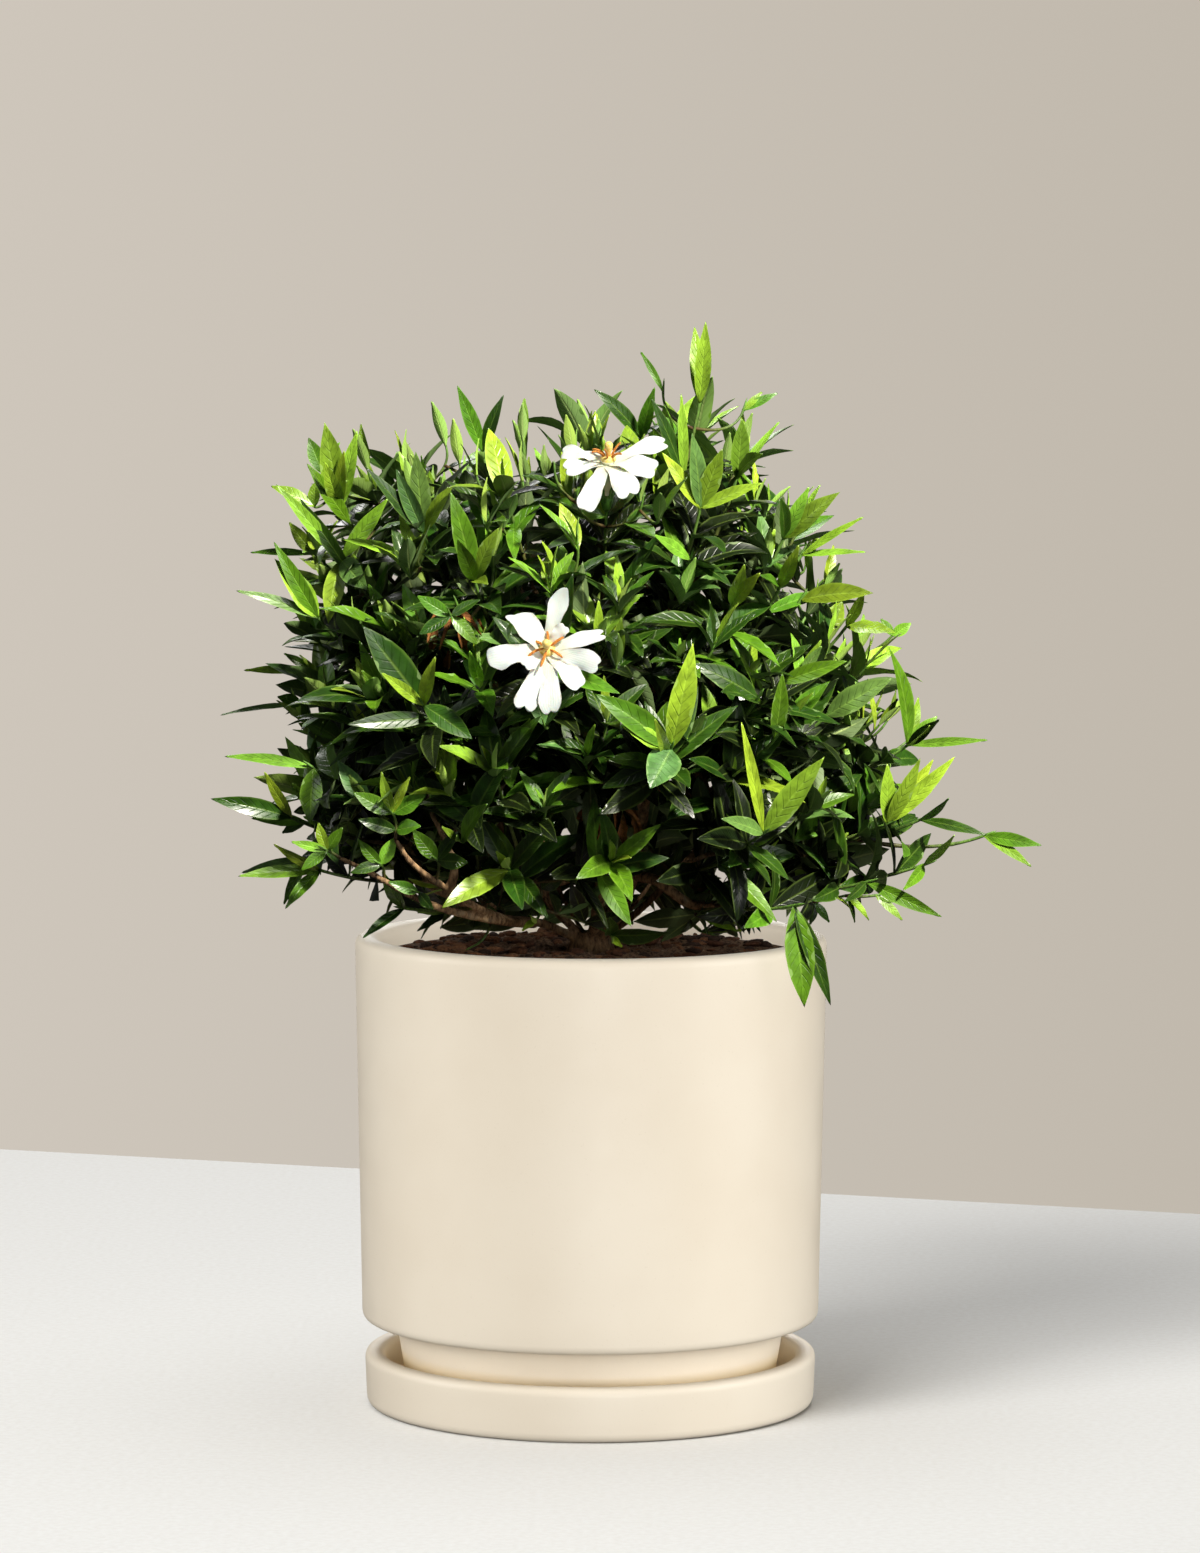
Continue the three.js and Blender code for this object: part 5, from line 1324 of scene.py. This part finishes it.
def grow_spray(soup, spray):
    """A spray's stems, forking from the first, with all their leaves."""
    paths, fine, coarse = [], [], []
    for number, plan in enumerate(spray["plans"]):
        path = stem_path(stem_start(spray, plan, paths), plan)
        paths.append(path)
        add_stem(soup, path, GREEN_STEM["extra"] if plan.get("extra") else 1)
        keys = plan["keys"] or (spray["number"] + 500, number)
        for n, one in enumerate(plan["leaves"]):
            fine.append(seen_leaf(plan, path, n, one, (*keys, n)))
        if not (plan.get("bare") or spray["withered"]):
            for n, shape in ruled_leaves(plan, path, keys):
                (fine if n < 2 * WHORL["sides"] else coarse).append(shape)
        if not plan["leaves"]:
            young = [young_leaf(plan, n, keys) for n in range(YOUNG_LEAF["count"])]
            fine.extend(shape for shape in young if has_room(shape))
    if spray["withered"]:
        fine.extend(withered_bits(spray["plans"][0], spray["number"]))
        crumple(fine)
    add_blades(soup, fine, LEAF_STATIONS, LEAF_COLUMNS, leaf_width)
    add_blades(soup, coarse, INNER_STATIONS, INNER_COLUMNS, leaf_width)


# ---------------------------------------------------------------- turned pieces


def dress(piece, slot, *nodes):
    """A piece of the plant or its pot: it rides on the part's one body and stands for nodes."""
    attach(piece, "root")
    if nodes:
        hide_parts(*nodes)
    return piece


def profile_of(corners, longest, steps=7):
    """A profile of (radius, height) corners, where a third value rounds a corner to that radius,
    with points added until no stretch is longer than longest."""
    profile = []
    for i, (*here, rounding) in enumerate((*corner, 0)[:3] for corner in corners):
        here = np.array(here, float)
        if not rounding:
            profile.append(here)
            continue
        before = np.array(corners[i - 1][:2], float)
        after = np.array(corners[(i + 1) % len(corners)][:2], float)
        start = here + unit(before - here) * rounding
        end = here + unit(after - here) * rounding
        for t in np.linspace(0, 1, steps):
            profile.append((1 - t) ** 2 * start + 2 * t * (1 - t) * here + t**2 * end)
    points = [profile[0]]
    for a, b in zip(profile, profile[1:]):
        count = max(1, math.ceil(np.linalg.norm(b - a) / longest))
        points.extend(lerp(a, b, k / count) for k in range(1, count + 1))
    return np.array(points)


def add_lathe(soup, profile, closed=False):
    """A solid of revolution. An open profile starts and ends on the axis."""
    segments = np.arange(LATHE_SEGMENTS)
    turns = 2 * math.pi * segments / LATHE_SEGMENTS
    body = profile if closed else profile[1:-1]
    points = np.concatenate(
        [np.c_[np.cos(turns) * r, np.sin(turns) * r, np.full(LATHE_SEGMENTS, z)] for r, z in body]
    )
    if closed:
        faces = ring_faces(len(body) + 1, LATHE_SEGMENTS, capped=False) % len(points)
        soup.add(points, faces)
        return
    after = (segments + 1) % LATHE_SEGMENTS
    low, high = (np.full(LATHE_SEGMENTS, len(points) + k) for k in (0, 1))
    last = (len(body) - 1) * LATHE_SEGMENTS
    faces = [
        ring_faces(len(body), LATHE_SEGMENTS, capped=False),
        np.c_[after, segments, low, low],
        np.c_[last + segments, last + after, high, high],
    ]
    points = np.concatenate([points, [[0, 0, profile[0][1]], [0, 0, profile[-1][1]]]])
    soup.add(points, np.concatenate(faces))


def make_saucer(material):
    radius, height, floor, lip = (SAUCER[k] for k in ("radius", "height", "floor", "lip_round"))
    inside = radius - SAUCER["wall"]
    corners = [
        (0, 0),
        (radius - SAUCER["draft"], 0, SAUCER["base_round"]),
        (radius, height, lip),
        (inside, height, lip),
        (inside - SAUCER["draft"], floor, lip),
        (0, floor),
    ]
    soup = Soup()
    add_lathe(soup, profile_of(corners, longest=6))
    return dress(soup.make("saucer_glazed", material), "ceramic", "saucer")


def cavity(margin):
    """The corners of the pot's cavity from the top down, drawn in by a margin for the soil."""
    step = POT["body_bottom"] + POT["wall"]
    inset = POT["wall"] + margin
    return [
        (POT["rim_radius"] - inset, POT["height"]),
        (POT["base_radius"] - inset, step + POT["inner_slope"]),
        (POT["foot_top_radius"] - inset, step + margin / 2),
        (POT["foot_base_radius"] - inset, SAUCER["floor"] + GAP + POT["floor"] + margin),
    ]


def make_pot(material):
    base = SAUCER["floor"] + GAP
    mouth, *inside = cavity(0)
    corners = [
        (POT["drain_radius"], base + POT["recess"]),
        (POT["recess_radius"], base + POT["recess"]),
        (POT["recess_radius"] + POT["bevel"], base),
        (POT["foot_base_radius"], base, POT["bevel"]),
        (POT["foot_top_radius"], POT["body_bottom"] + POT["undercut"]),
        (POT["base_radius"], POT["body_bottom"], POT["edge_round"]),
        (POT["rim_radius"], POT["height"], POT["lip_round"]),
        (*mouth, POT["lip_round"]),
        *inside,
        (POT["drain_radius"], inside[-1][1]),
    ]
    soup = Soup()
    add_lathe(soup, profile_of(corners, longest=8), closed=True)
    return dress(soup.make("pot_glazed", material), "ceramic", "pot")


# ---------------------------------------------------------------- soil and bark


def soil_height(x, y):
    """The soil's surface in millimetres: a low mound with lumps and crumbs."""
    inward = 1 - min(math.hypot(x, y) / cavity(SOIL["gap"])[0][0], 1)
    at = Vector((x, y, 0))
    large, small = (noise.noise(at / size) * height for size, height in SOIL["lumps"])
    coarse, fine = (noise.noise(at / size) * height for size, height in SOIL["crumbs"])
    rough = large + small + (abs(coarse) + fine)
    return SOIL["top"] + SOIL["mound"] * inward + min(1, inward * 8) * rough


def make_soil(material):
    mouth, *inside = cavity(SOIL["gap"])
    top = [(r, SOIL["top"]) for r in np.linspace(mouth[0], 0.8, 84)]
    profile = [(0, inside[-1][1]), *reversed(inside), *top, (0, SOIL["top"])]
    soup = Soup()
    add_lathe(soup, np.array(profile))
    for p in soup.points[0]:
        if p[2] > SOIL["top"] - 1:
            p[2] = soil_height(p[0], p[1])
    return dress(soup.make("potting_soil", material), "potting_mix", "soil")


def add_chip(soup, at, size, keys):
    """One rough bark chip: a squashed, jagged ball."""
    count, sides = 5, 8
    turn, tip = between(0, 6.28, *keys, 1), either_way(0.5, *keys, 2)
    points = []
    for i, row in enumerate(np.linspace(0.12, math.pi - 0.12, count)):
        for j in range(sides):
            a = 2 * math.pi * j / sides
            rough = between(*CHIPS["jagged"], *keys, i * 16 + j, 3)
            points.append([
                size[0] * math.sin(row) * math.cos(a) * rough,
                size[1] * math.sin(row) * math.sin(a) * rough,
                size[2] * math.cos(row),
            ])
    spin = np.array(Matrix.Rotation(turn, 3, "Z") @ Matrix.Rotation(tip, 3, "X"))
    tone = linear(CHIPS["tones"][int(len(CHIPS["tones"]) * chance(*keys, 4))])
    faces = turn_over(ring_faces(count, sides))
    soup.add(np.array(points) @ spin.T + at, faces, tone=tone)


def turn_over(faces):
    """Faces with their corners reversed, where a triangle's repeated corner still comes last."""
    faces = faces[:, ::-1].copy()
    three = faces[:, 0] == faces[:, 1]
    faces[three] = faces[three][:, [1, 2, 3, 3]]
    return faces


def make_bark(material):
    soup = Soup()
    for k in range(CHIPS["count"]):
        r = CHIPS["spread"] * math.sqrt(chance(k, 71))
        a = 2 * math.pi * chance(k, 72)
        x, y = r * math.cos(a), r * math.sin(a)
        length = between(*CHIPS["length"], k, 73)
        width = length * between(*CHIPS["width"], k, 74)
        thick = length * between(*CHIPS["thick"], k, 75)
        at = np.array([x, y, soil_height(x, y) + thick * CHIPS["raised"]])
        add_chip(soup, at, (length, width, thick), (k, 76))
    return dress(soup.make("bark_chips", material), "bark")


# ---------------------------------------------------------------- flowers


def make_corolla(bloom, material):
    mouth, axis, across, top, foot = bloom_frame(bloom)
    soup = Soup()
    path = [foot, lerp(foot, mouth, 0.5), mouth - axis * TUBE["flare"], mouth]
    add_tube(soup, smooth_path(path, 5), smooth_values(TUBE["radii"], 5), 20)
    shapes, seat = [], PETAL_SEAT
    for i, one in enumerate(bloom["petals"]):
        rise = math.radians(one["lift"])
        out = spoke(across, top, math.radians(one["angle"]))
        shapes.append(
            dict(
                root=mouth + axis * (seat["above"] * (i % 2) - seat["deep"]) + out * seat["out"],
                ahead=out * math.cos(rise) + axis * math.sin(rise),
                face=axis,
                length=one["length"],
                width=one["width"],
                bend=one["curl"] * PETAL_FORM["bend"],
                curl=one["curl"] * PETAL_FORM["curl"],
                twist=one["twist"] * PETAL_FORM["twist"] + either_way(0.2, i, 87),
                notch=one["notch"] * PETAL_FORM["notch"],
                thick=0.4,
                stalk=1.1,
                **drawn(PETAL_RANGES, i),
            )
        )
    add_blades(soup, shapes, PETAL_STATIONS, PETAL_COLUMNS, petal_width)
    name = bloom["name"]
    return dress(soup.make(f"{name}_corolla", material), "petals", f"{name}_petals")


def make_heart(bloom, pollen, cream):
    """The fluted club of the stigma, and the long anthers that lie round its foot."""
    mouth, axis, across, top, _ = bloom_frame(bloom)
    soup = Soup()
    for stations, sides in ((THROAT, 18), (STIGMA, 12)):
        heights, radii = zip(*stations)
        add_tube(soup, [mouth + axis * z for z in heights], radii, sides, slot=1)
    shapes = []
    for k in range(ANTHERS["count"]):
        place_round = k + ANTHERS["first"] + either_way(ANTHERS["stray"], k, 91)
        turn = 2 * math.pi * place_round / ANTHERS["count"]
        rise = between(*bloom["anther_rise"], k, 92)
        out = spoke(across, top, turn)
        root = mouth + axis * ANTHERS["up"] + out * ANTHERS["out"]
        ahead = out * math.cos(rise) + axis * math.sin(rise)
        form = {**ANTHER_FORM, **drawn(ANTHER_RANGES, k)}
        shapes.append(dict(root=root, ahead=ahead, face=axis, **form))
    add_blades(soup, shapes, INNER_STATIONS, INNER_COLUMNS, anther_width)
    name = bloom["name"]
    piece = soup.make(f"{name}_stamens", pollen, cream)
    return dress(piece, "flower_heart", f"{name}_heart")


def add_calyx(soup, bloom):
    """The green cup under a flower's tube, with its narrow lobes."""
    _, axis, across, top, foot = bloom_frame(bloom)
    green = linear(CALYX["tone"])
    heights, radii = zip(*CALYX["cup"])
    add_tube(soup, [foot + axis * z for z in heights], radii, 12, slot=1, tone=green)
    lobes = []
    for k in range(CALYX["lobes"]):
        out = spoke(across, top, 2 * math.pi * k / CALYX["lobes"])
        root = foot + axis * CALYX["up"] + out * CALYX["out"]
        ahead = unit(axis + out * CALYX["lean"])
        lobes.append(dict(root=root, ahead=ahead, face=-out, tone=green, **CALYX["form"]))
    add_blades(soup, lobes, INNER_STATIONS, INNER_COLUMNS, leaf_width)


# ---------------------------------------------------------------- materials

# A warm painted shade in the recess round the pot's foot.
FOOT_PAINTED_SHADE = dict(within=(84, 87), below=(18, 25))  # fades out over these radii and heights
RIB_LIGHT = (0.05, 0.075, 0.012, 1)  # what a leaf's midrib and margin add to its colour
# The margin's added light is partly a pale edge and partly a painted glint along the leaf's rim.
MARGIN_LIGHT_AND_GLINT = (0.06, 0.09, 0.015, 1)


class Nodes:
    """Adds nodes to a tree, each fed with sockets or values."""

    def __init__(self, tree):
        self.nodes, self.links = tree.nodes, tree.links

    def feed(self, socket, value):
        if isinstance(value, bpy.types.NodeSocket):
            self.links.new(value, socket)
        else:
            socket.default_value = value

    def node(self, kind, inputs, **settings):
        node = self.nodes.new("ShaderNode" + kind)
        for key, value in settings.items():
            setattr(node, key, value)
        for key, value in inputs.items():
            self.feed(node.inputs[key], value)
        return node

    def span(self, value, low, high, start=0.0, end=1.0):
        """Maps low..high to start..end, and holds at the ends."""
        inputs = {0: value, 1: low, 2: high, 3: start, 4: end}
        return self.node("MapRange", inputs).outputs[0]

    def mix(self, share, a, b, mode="MIX"):
        inputs = {0: share, 6: a, 7: b}
        return self.node("Mix", inputs, data_type="RGBA", blend_type=mode).outputs[2]


class Paint(Nodes):
    """One material's nodes, built round its Principled shader."""

    def __init__(self, name, **values):
        self.material = bpy.data.materials.new(name)
        self.material.use_nodes = True
        super().__init__(self.material.node_tree)
        self.shader = self.nodes["Principled BSDF"]
        self.place = self.node("TexCoord", {}).outputs["Object"]
        for key, value in values.items():
            socket = "Specular IOR Level" if key == "gloss" else key.replace("_", " ").title()
            self.feed(self.shader.inputs[socket], value)

    def noise(self, size, detail=2.0, rough=0.5, stretch=None):
        """Noise with features of so many millimetres, from 0 to 1."""
        place = self.place
        if stretch:
            place = self.node("Mapping", {0: place, 3: stretch}).outputs[0]
        inputs = {"Vector": place, "Scale": 1 / (size * MM), "Detail": detail, "Roughness": rough}
        return self.node("TexNoise", inputs).outputs["Fac"]

    def cells(self, size):
        inputs = {"Vector": self.place, "Scale": 1 / (size * MM)}
        return self.node("TexVoronoi", inputs).outputs["Distance"]

    def mark(self, name, output="Fac"):
        return self.node("Attribute", {}, attribute_name=name).outputs[output]

    def sum(self, operation, a, b=0.0, c=0.0):
        return self.node("Math", {0: a, 1: b, 2: c}, operation=operation).outputs[0]

    def times(self, a, b):
        return self.sum("MULTIPLY", a, b)

    def plus(self, a, share, b):
        """A share of a, and b."""
        return self.sum("MULTIPLY_ADD", a, share, b)

    def blend(self, value, low, high, start, end):
        """One colour where value is low, and another where it is high."""
        return self.mix(self.span(value, low, high), rgba(start), rgba(end))

    def over(self, colour, mask, share, tint):
        """A colour with a share of a tint laid over it where the mask is."""
        return self.mix(self.times(mask, share), colour, rgba(tint))

    def bump(self, height, depth, strength=1.0):
        """Relief of so many millimetres."""
        inputs = {"Height": height, "Distance": depth * MM, "Strength": strength}
        self.feed(self.shader.inputs["Normal"], self.node("Bump", inputs).outputs[0])

    def done(self, colour, roughness=None):
        self.feed(self.shader.inputs["Base Color"], colour)
        if roughness is not None:
            self.feed(self.shader.inputs["Roughness"], roughness)
        return self.material


def ceramic_paint():
    """Matte cream glaze with faint specks and an uneven skin, with a warm painted shade round the
    foot.
    """
    paint = Paint("cream_glaze", gloss=0.35)
    speck = paint.span(paint.noise(0.9, 2), 0.66, 0.76)
    colour = paint.blend(paint.noise(60, 3), 0.35, 0.65, "#e6dac6", "#eadfcc")
    colour = paint.over(colour, speck, 0.2, "#cdbfa6")
    flat = paint.node("Mapping", {0: paint.place, 3: (1, 1, 0)}).outputs[0]
    across = paint.node("VectorMath", {0: flat}, operation="LENGTH").outputs["Value"]
    height = paint.node("SeparateXYZ", {0: paint.place}).outputs[2]
    # A warm painted shade where the foot stands in the saucer's recess, within a radius and below a
    # height.
    within = paint.span(across, *(r * MM for r in FOOT_PAINTED_SHADE["within"]), 1, 0)
    below = paint.span(height, *(z * MM for z in FOOT_PAINTED_SHADE["below"]), 1, 0)
    colour = paint.over(colour, within, below, "#ecd5a6")
    paint.bump(paint.noise(1.6, 4), 0.05, 0.5)
    return paint.done(colour, paint.span(paint.noise(14, 3), 0.3, 0.7, 0.42, 0.56))


def soil_paint():
    paint = Paint("potting_mix", gloss=0.2)
    grain = paint.noise(1.4, 5, 0.7)
    pearl = paint.span(paint.noise(2.2, 1), 0.72, 0.76)
    colour = paint.blend(grain, 0.38, 0.66, "#2c2019", "#735a47")
    colour = paint.over(colour, pearl, 0.6, "#8d7b63")
    paint.bump(paint.noise(0.8, 6, 0.75), 0.6)
    return paint.done(colour, paint.span(grain, 0.3, 0.7, 0.98, 0.8))


def toned_paint(name, gloss, noise, shadow, relief, roughness):
    """Stems and chips in the tones marked on their meshes, darker in the grain."""
    paint = Paint(name, gloss=gloss)
    grain = paint.noise(*noise)
    shade = paint.blend(grain, 0.3, 0.7, shadow, "#ffffff")
    paint.bump(grain, relief)
    colour = paint.mix(1.0, paint.mark("tone", "Color"), shade, "MULTIPLY")
    return paint.done(colour, paint.span(grain, 0.3, 0.7, *roughness))


def wood_paint():
    """Grey-brown bark, furrowed along the stems, with paler lenticels."""
    paint = Paint("woody_bark", gloss=0.25)
    furrow = paint.noise(1.5, 5, 0.65, stretch=(1, 1, 0.3))
    colour = paint.blend(furrow, 0.34, 0.64, "#463324", "#a3835f")
    colour = paint.over(colour, paint.span(paint.noise(7, 3), 0.56, 0.7), 0.45, "#a99a7c")
    colour = paint.over(colour, paint.span(paint.cells(2.4), 0.16, 0.1), 0.4, "#a08e70")
    paint.bump(furrow, 0.5)
    return paint.done(colour, paint.span(furrow, 0.3, 0.7, 0.95, 0.75))


def vein_marks(paint, pairs=9.0, slant=1.5):
    """How far out a point of a blade lies, and how much on the midrib and on a side vein."""
    along_blade = paint.mark("along")
    off = paint.sum("ABSOLUTE", paint.mark("across"))
    rib = paint.times(paint.span(off, 0.12, 0.03), paint.span(along_blade, 1.0, 0.6))
    beat = paint.sum("PINGPONG", paint.plus(along_blade, pairs, paint.times(off, -slant)), 0.5)
    vein = paint.times(paint.span(beat, 0.12, 0.0), paint.span(off, 1.0, 0.55))
    return off, rib, vein


def leaf_paint():
    """Glossy leaves: a pale midrib, a pale margin that is partly a painted glint, sunken side
    veins, and a dull pale underside.
    """
    paint = Paint("glossy_leaf", gloss=0.4, coat_weight=0.12, coat_roughness=0.2)
    tone, under = paint.mark("tone", "Color"), paint.mark("under")
    off, rib, vein = vein_marks(paint)
    shade = paint.blend(paint.noise(5.5, 3, 0.6), 0.3, 0.7, "#b9b9b9", "#ffffff")
    colour = paint.mix(1.0, tone, shade, "MULTIPLY")
    colour = paint.over(colour, vein, 0.22, "#101f0c")
    colour = paint.mix(rib, colour, RIB_LIGHT, "ADD")
    # A pale margin, partly a painted glint along the leaf's edge.
    margin = paint.times(paint.span(off, 0.8, 0.95), 0.6)
    colour = paint.mix(margin, colour, MARGIN_LIGHT_AND_GLINT, "ADD")
    below = paint.mix(0.42, tone, rgba("#86a064"))
    below = paint.over(below, rib, 0.5, "#b4c77a")
    relief = paint.plus(vein, -1.0, paint.times(rib, -0.8))
    paint.bump(paint.plus(paint.noise(1.1, 2), 0.25, relief), 0.18, 0.7)
    gloss = paint.span(paint.noise(9, 2), 0.3, 0.7, 0.3, 0.42)
    return paint.done(paint.mix(under, colour, below), paint.plus(under, 0.28, gloss))


def withered_paint():
    paint = Paint("withered_leaf", gloss=0.25)
    off, rib, vein = vein_marks(paint)
    cloud = paint.noise(3.5, 5, 0.65)
    colour = paint.blend(cloud, 0.32, 0.66, "#3c2010", "#94602a")
    colour = paint.over(colour, rib, 0.5, "#3a1f10")
    paint.bump(paint.plus(vein, -0.6, cloud), 0.4)
    return paint.done(colour, paint.span(off, 0.0, 1.0, 0.85, 0.65))


def petal_paint():
    """Waxy white, cream towards the claw and where the petal rolls under, finely veined."""
    paint = Paint("white_petal", subsurface_weight=0.25, subsurface_scale=0.004, roughness=0.5)
    ray = paint.sum("PINGPONG", paint.times(paint.mark("across"), 4.5), 0.5)
    vein = paint.span(ray, 0.14, 0.0)
    colour = paint.blend(paint.mark("along"), 0.45, 0.0, "#ebe9e3", "#e2dbb4")
    colour = paint.over(colour, paint.mark("under"), 0.5, "#e3d4b2")
    colour = paint.over(colour, vein, 0.12, "#d9d2b6")
    colour = paint.over(colour, paint.span(paint.noise(4, 4), 0.62, 0.8), 0.3, "#d9bd85")
    paint.bump(paint.plus(vein, -0.5, paint.noise(2.2, 3)), 0.16, 0.7)
    return paint.done(colour)


def grained_paint(name, dark, light, size, roughness, depth=0.15):
    """Two colours mixed by fine grain."""
    paint = Paint(name, roughness=roughness)
    grain = paint.noise(size, 4, 0.6)
    paint.bump(grain, depth)
    return paint.done(paint.blend(grain, 0.35, 0.65, dark, light))


# ---------------------------------------------------------------- the stage

WARM, NEUTRAL, COOL = (1, 0.955, 0.84), (1, 0.99, 0.97), (0.97, 0.985, 1)
TABLE = dict(left=-1500, right=1500, front=-2700, back_left=1126, back_right=99)  # millimetres


def set_camera():
    camera = bpy.data.cameras.new("eye")
    camera.sensor_fit, camera.sensor_width = "AUTO", EYE["sensor"]
    camera.lens = EYE["lens"]
    obj = place("eye", camera)
    obj.location = (0, -EYE["distance"] * MM, EYE["height"] * MM)
    tilt = Matrix.Rotation(math.radians(90 - EYE["down"]), 4, "X")
    turn = Matrix.Rotation(math.radians(-EYE["right"]), 4, "Z")
    roll = Matrix.Rotation(math.radians(EYE["roll"]), 4, "Z")
    obj.rotation_euler = (turn @ tilt @ roll).to_euler()
    bpy.context.scene.camera = obj


def add_light(name, at, size, power, colour, lit, shadows_of=None):
    """A round lamp that falls on some objects alone, shaded by all pieces or by those given."""
    data = bpy.data.lights.new(name, "AREA")
    data.shape, data.size = "DISK", size
    data.energy, data.color = power, colour
    lamp = place(name, data)
    lamp.location = at
    middle = Vector((0, 0, 0.22))
    lamp.rotation_euler = (middle - lamp.location).to_track_quat("-Z", "Y").to_euler()
    lamp.light_linking.receiver_collection = collect(name + "_receivers", lit)
    if shadows_of:
        lamp.light_linking.blocker_collection = collect(name + "_blockers", shadows_of)


def collect(name, objects):
    group = bpy.data.collections.new(name)
    for obj in objects:
        group.objects.link(obj)
    return group


def add_lights(pots, plant, petals, floor):
    bush = plant + petals
    ground = plant[:2]
    add_light("sun_right", (1.5, -1.9, 2.5), 0.34, 315, WARM, plant)
    add_light("sun_on_petals", (1.5, -1.9, 2.5), 0.34, 165, WARM, petals)
    add_light("petal_front", (0.4, -3.0, 0.9), 1.4, 20, NEUTRAL, petals)
    add_light("sky_left", (-2.4, -1.2, 2.0), 1.2, 12, COOL, bush)
    add_light("sky_front", (2.2, -2.6, 0.9), 1.2, 30, NEUTRAL, bush)
    add_light("sky_back", (-0.8, 2.4, 2.6), 1.2, 44, NEUTRAL, bush)
    add_light("pot_right", (2.59, -0.94, 1.0), 1.8, 61, NEUTRAL, pots, pots)
    add_light("pot_front", (0.24, -2.75, 0.2), 1.4, 50, NEUTRAL, pots, pots)
    add_light("pot_left", (-2.72, -0.48, 1.0), 1.8, 61, NEUTRAL, pots, pots)
    add_light("pot_back", (0.0, 2.6, 1.6), 1.8, 40, NEUTRAL, pots, pots)
    add_light("soil_front", (0.5, -1.6, 2.0), 1.0, 36, WARM, ground, pots + plant[2:3])
    add_light("table_left", (-5.2, -5.1, 4.4), 3.4, 430, NEUTRAL, [floor])
    add_light("table_front", (-3.0, -6.0, 5.2), 3.4, 290, NEUTRAL, [floor])
    add_light("table_high", (0.0, 0.5, 6.0), 6.0, 222, NEUTRAL, [floor, *pots])


def make_floor():
    """A pale table top whose far edge runs a little askew behind the plant."""
    left, right, front = TABLE["left"], TABLE["right"], TABLE["front"]
    corners = [
        (left, TABLE["back_left"], 0), (left, front, 0), (right, front, 0),
        (right, TABLE["back_right"], 0),
    ]
    soup = Soup()
    soup.add(np.array(corners, float), np.array([[0, 1, 2, 3]]))
    floor = soup.make("table_top", grained_paint("table", "#e5e4e1", "#ebebe9", 3, 0.75, 0.02))
    floor.visible_diffuse = floor.visible_glossy = False
    floor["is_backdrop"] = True
    return floor


def set_world():
    """A plain grey-beige wall, a little darker to the right. Only a faint glow lights the plant."""
    world = bpy.data.worlds.new("wall")
    world.use_nodes = True
    tree = Nodes(world.node_tree)
    way = tree.node("TexCoord", {}).outputs["Generated"]
    right = tree.node("SeparateXYZ", {0: way}).outputs[0]
    shade = tree.mix(tree.span(right, -0.11, 0.11), rgba("#cec6bb"), rgba("#c1b9ad"))
    wall = tree.nodes["Background"]
    tree.feed(wall.inputs["Color"], shade)
    glow = tree.node("Background", {"Color": (1, 1, 1, 1), "Strength": 0.045})
    shown = tree.node("LightPath", {}).outputs["Is Camera Ray"]
    both = tree.node("MixShader", {0: shown, 1: glow.outputs[0], 2: wall.outputs[0]})
    tree.feed(tree.nodes["World Output"].inputs["Surface"], both.outputs[0])
    bpy.context.scene.world = world


def write_sizes():
    boxes = [[list(corner) for corner in box] for box in (cad_box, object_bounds())]


# ---------------------------------------------------------------- putting it together


def make_spray(spray, leaves, withered, green):
    soup = Soup()
    grow_spray(soup, spray)
    for bloom in BLOOMS:
        if spray["node"] == "spray_" + bloom["name"]:
            add_calyx(soup, bloom)
    blade, slot = (withered, "withered_leaf") if spray["withered"] else (leaves, "foliage")
    return dress(soup.make(spray["node"] + "_leaves", blade, green), slot, spray["node"])


def make_plant():
    """The soil and its chips, the wood and every spray, in that order."""
    chips = toned_paint("bark_chip", 0.25, (1.1, 4, 0.65), "#8a8a8a", 0.3, (0.95, 0.75))
    along_stem = (1.2, 3, 0.6, (1, 1, 0.4))
    green = toned_paint("green_stem", 0.4, along_stem, "#9d9a90", 0.12, (0.62, 0.45))
    leaves, withered = leaf_paint(), withered_paint()
    sprays, bases = plan_plant()
    pieces = [make_soil(soil_paint()), make_bark(chips), make_wood(bases, wood_paint())]
    return pieces + [make_spray(spray, leaves, withered, green) for spray in sprays]


def make_blooms():
    white = petal_paint()
    pollen = grained_paint("anther", "#a4561a", "#dd943c", 0.6, 0.8)
    cream = grained_paint("stigma", "#f0c84a", "#fbe9a0", 0.8, 0.55)
    pieces = []
    for bloom in BLOOMS:
        pieces += [make_corolla(bloom, white), make_heart(bloom, pollen, cream)]
    return pieces


glaze = ceramic_paint()
pots = [make_saucer(glaze), make_pot(glaze)]
plant = make_plant()
petals = make_blooms()
floor = make_floor()
set_world()
set_camera()
add_lights(pots, plant, petals, floor)
bpy.context.scene.view_settings.view_transform = "Standard"

write_sizes()
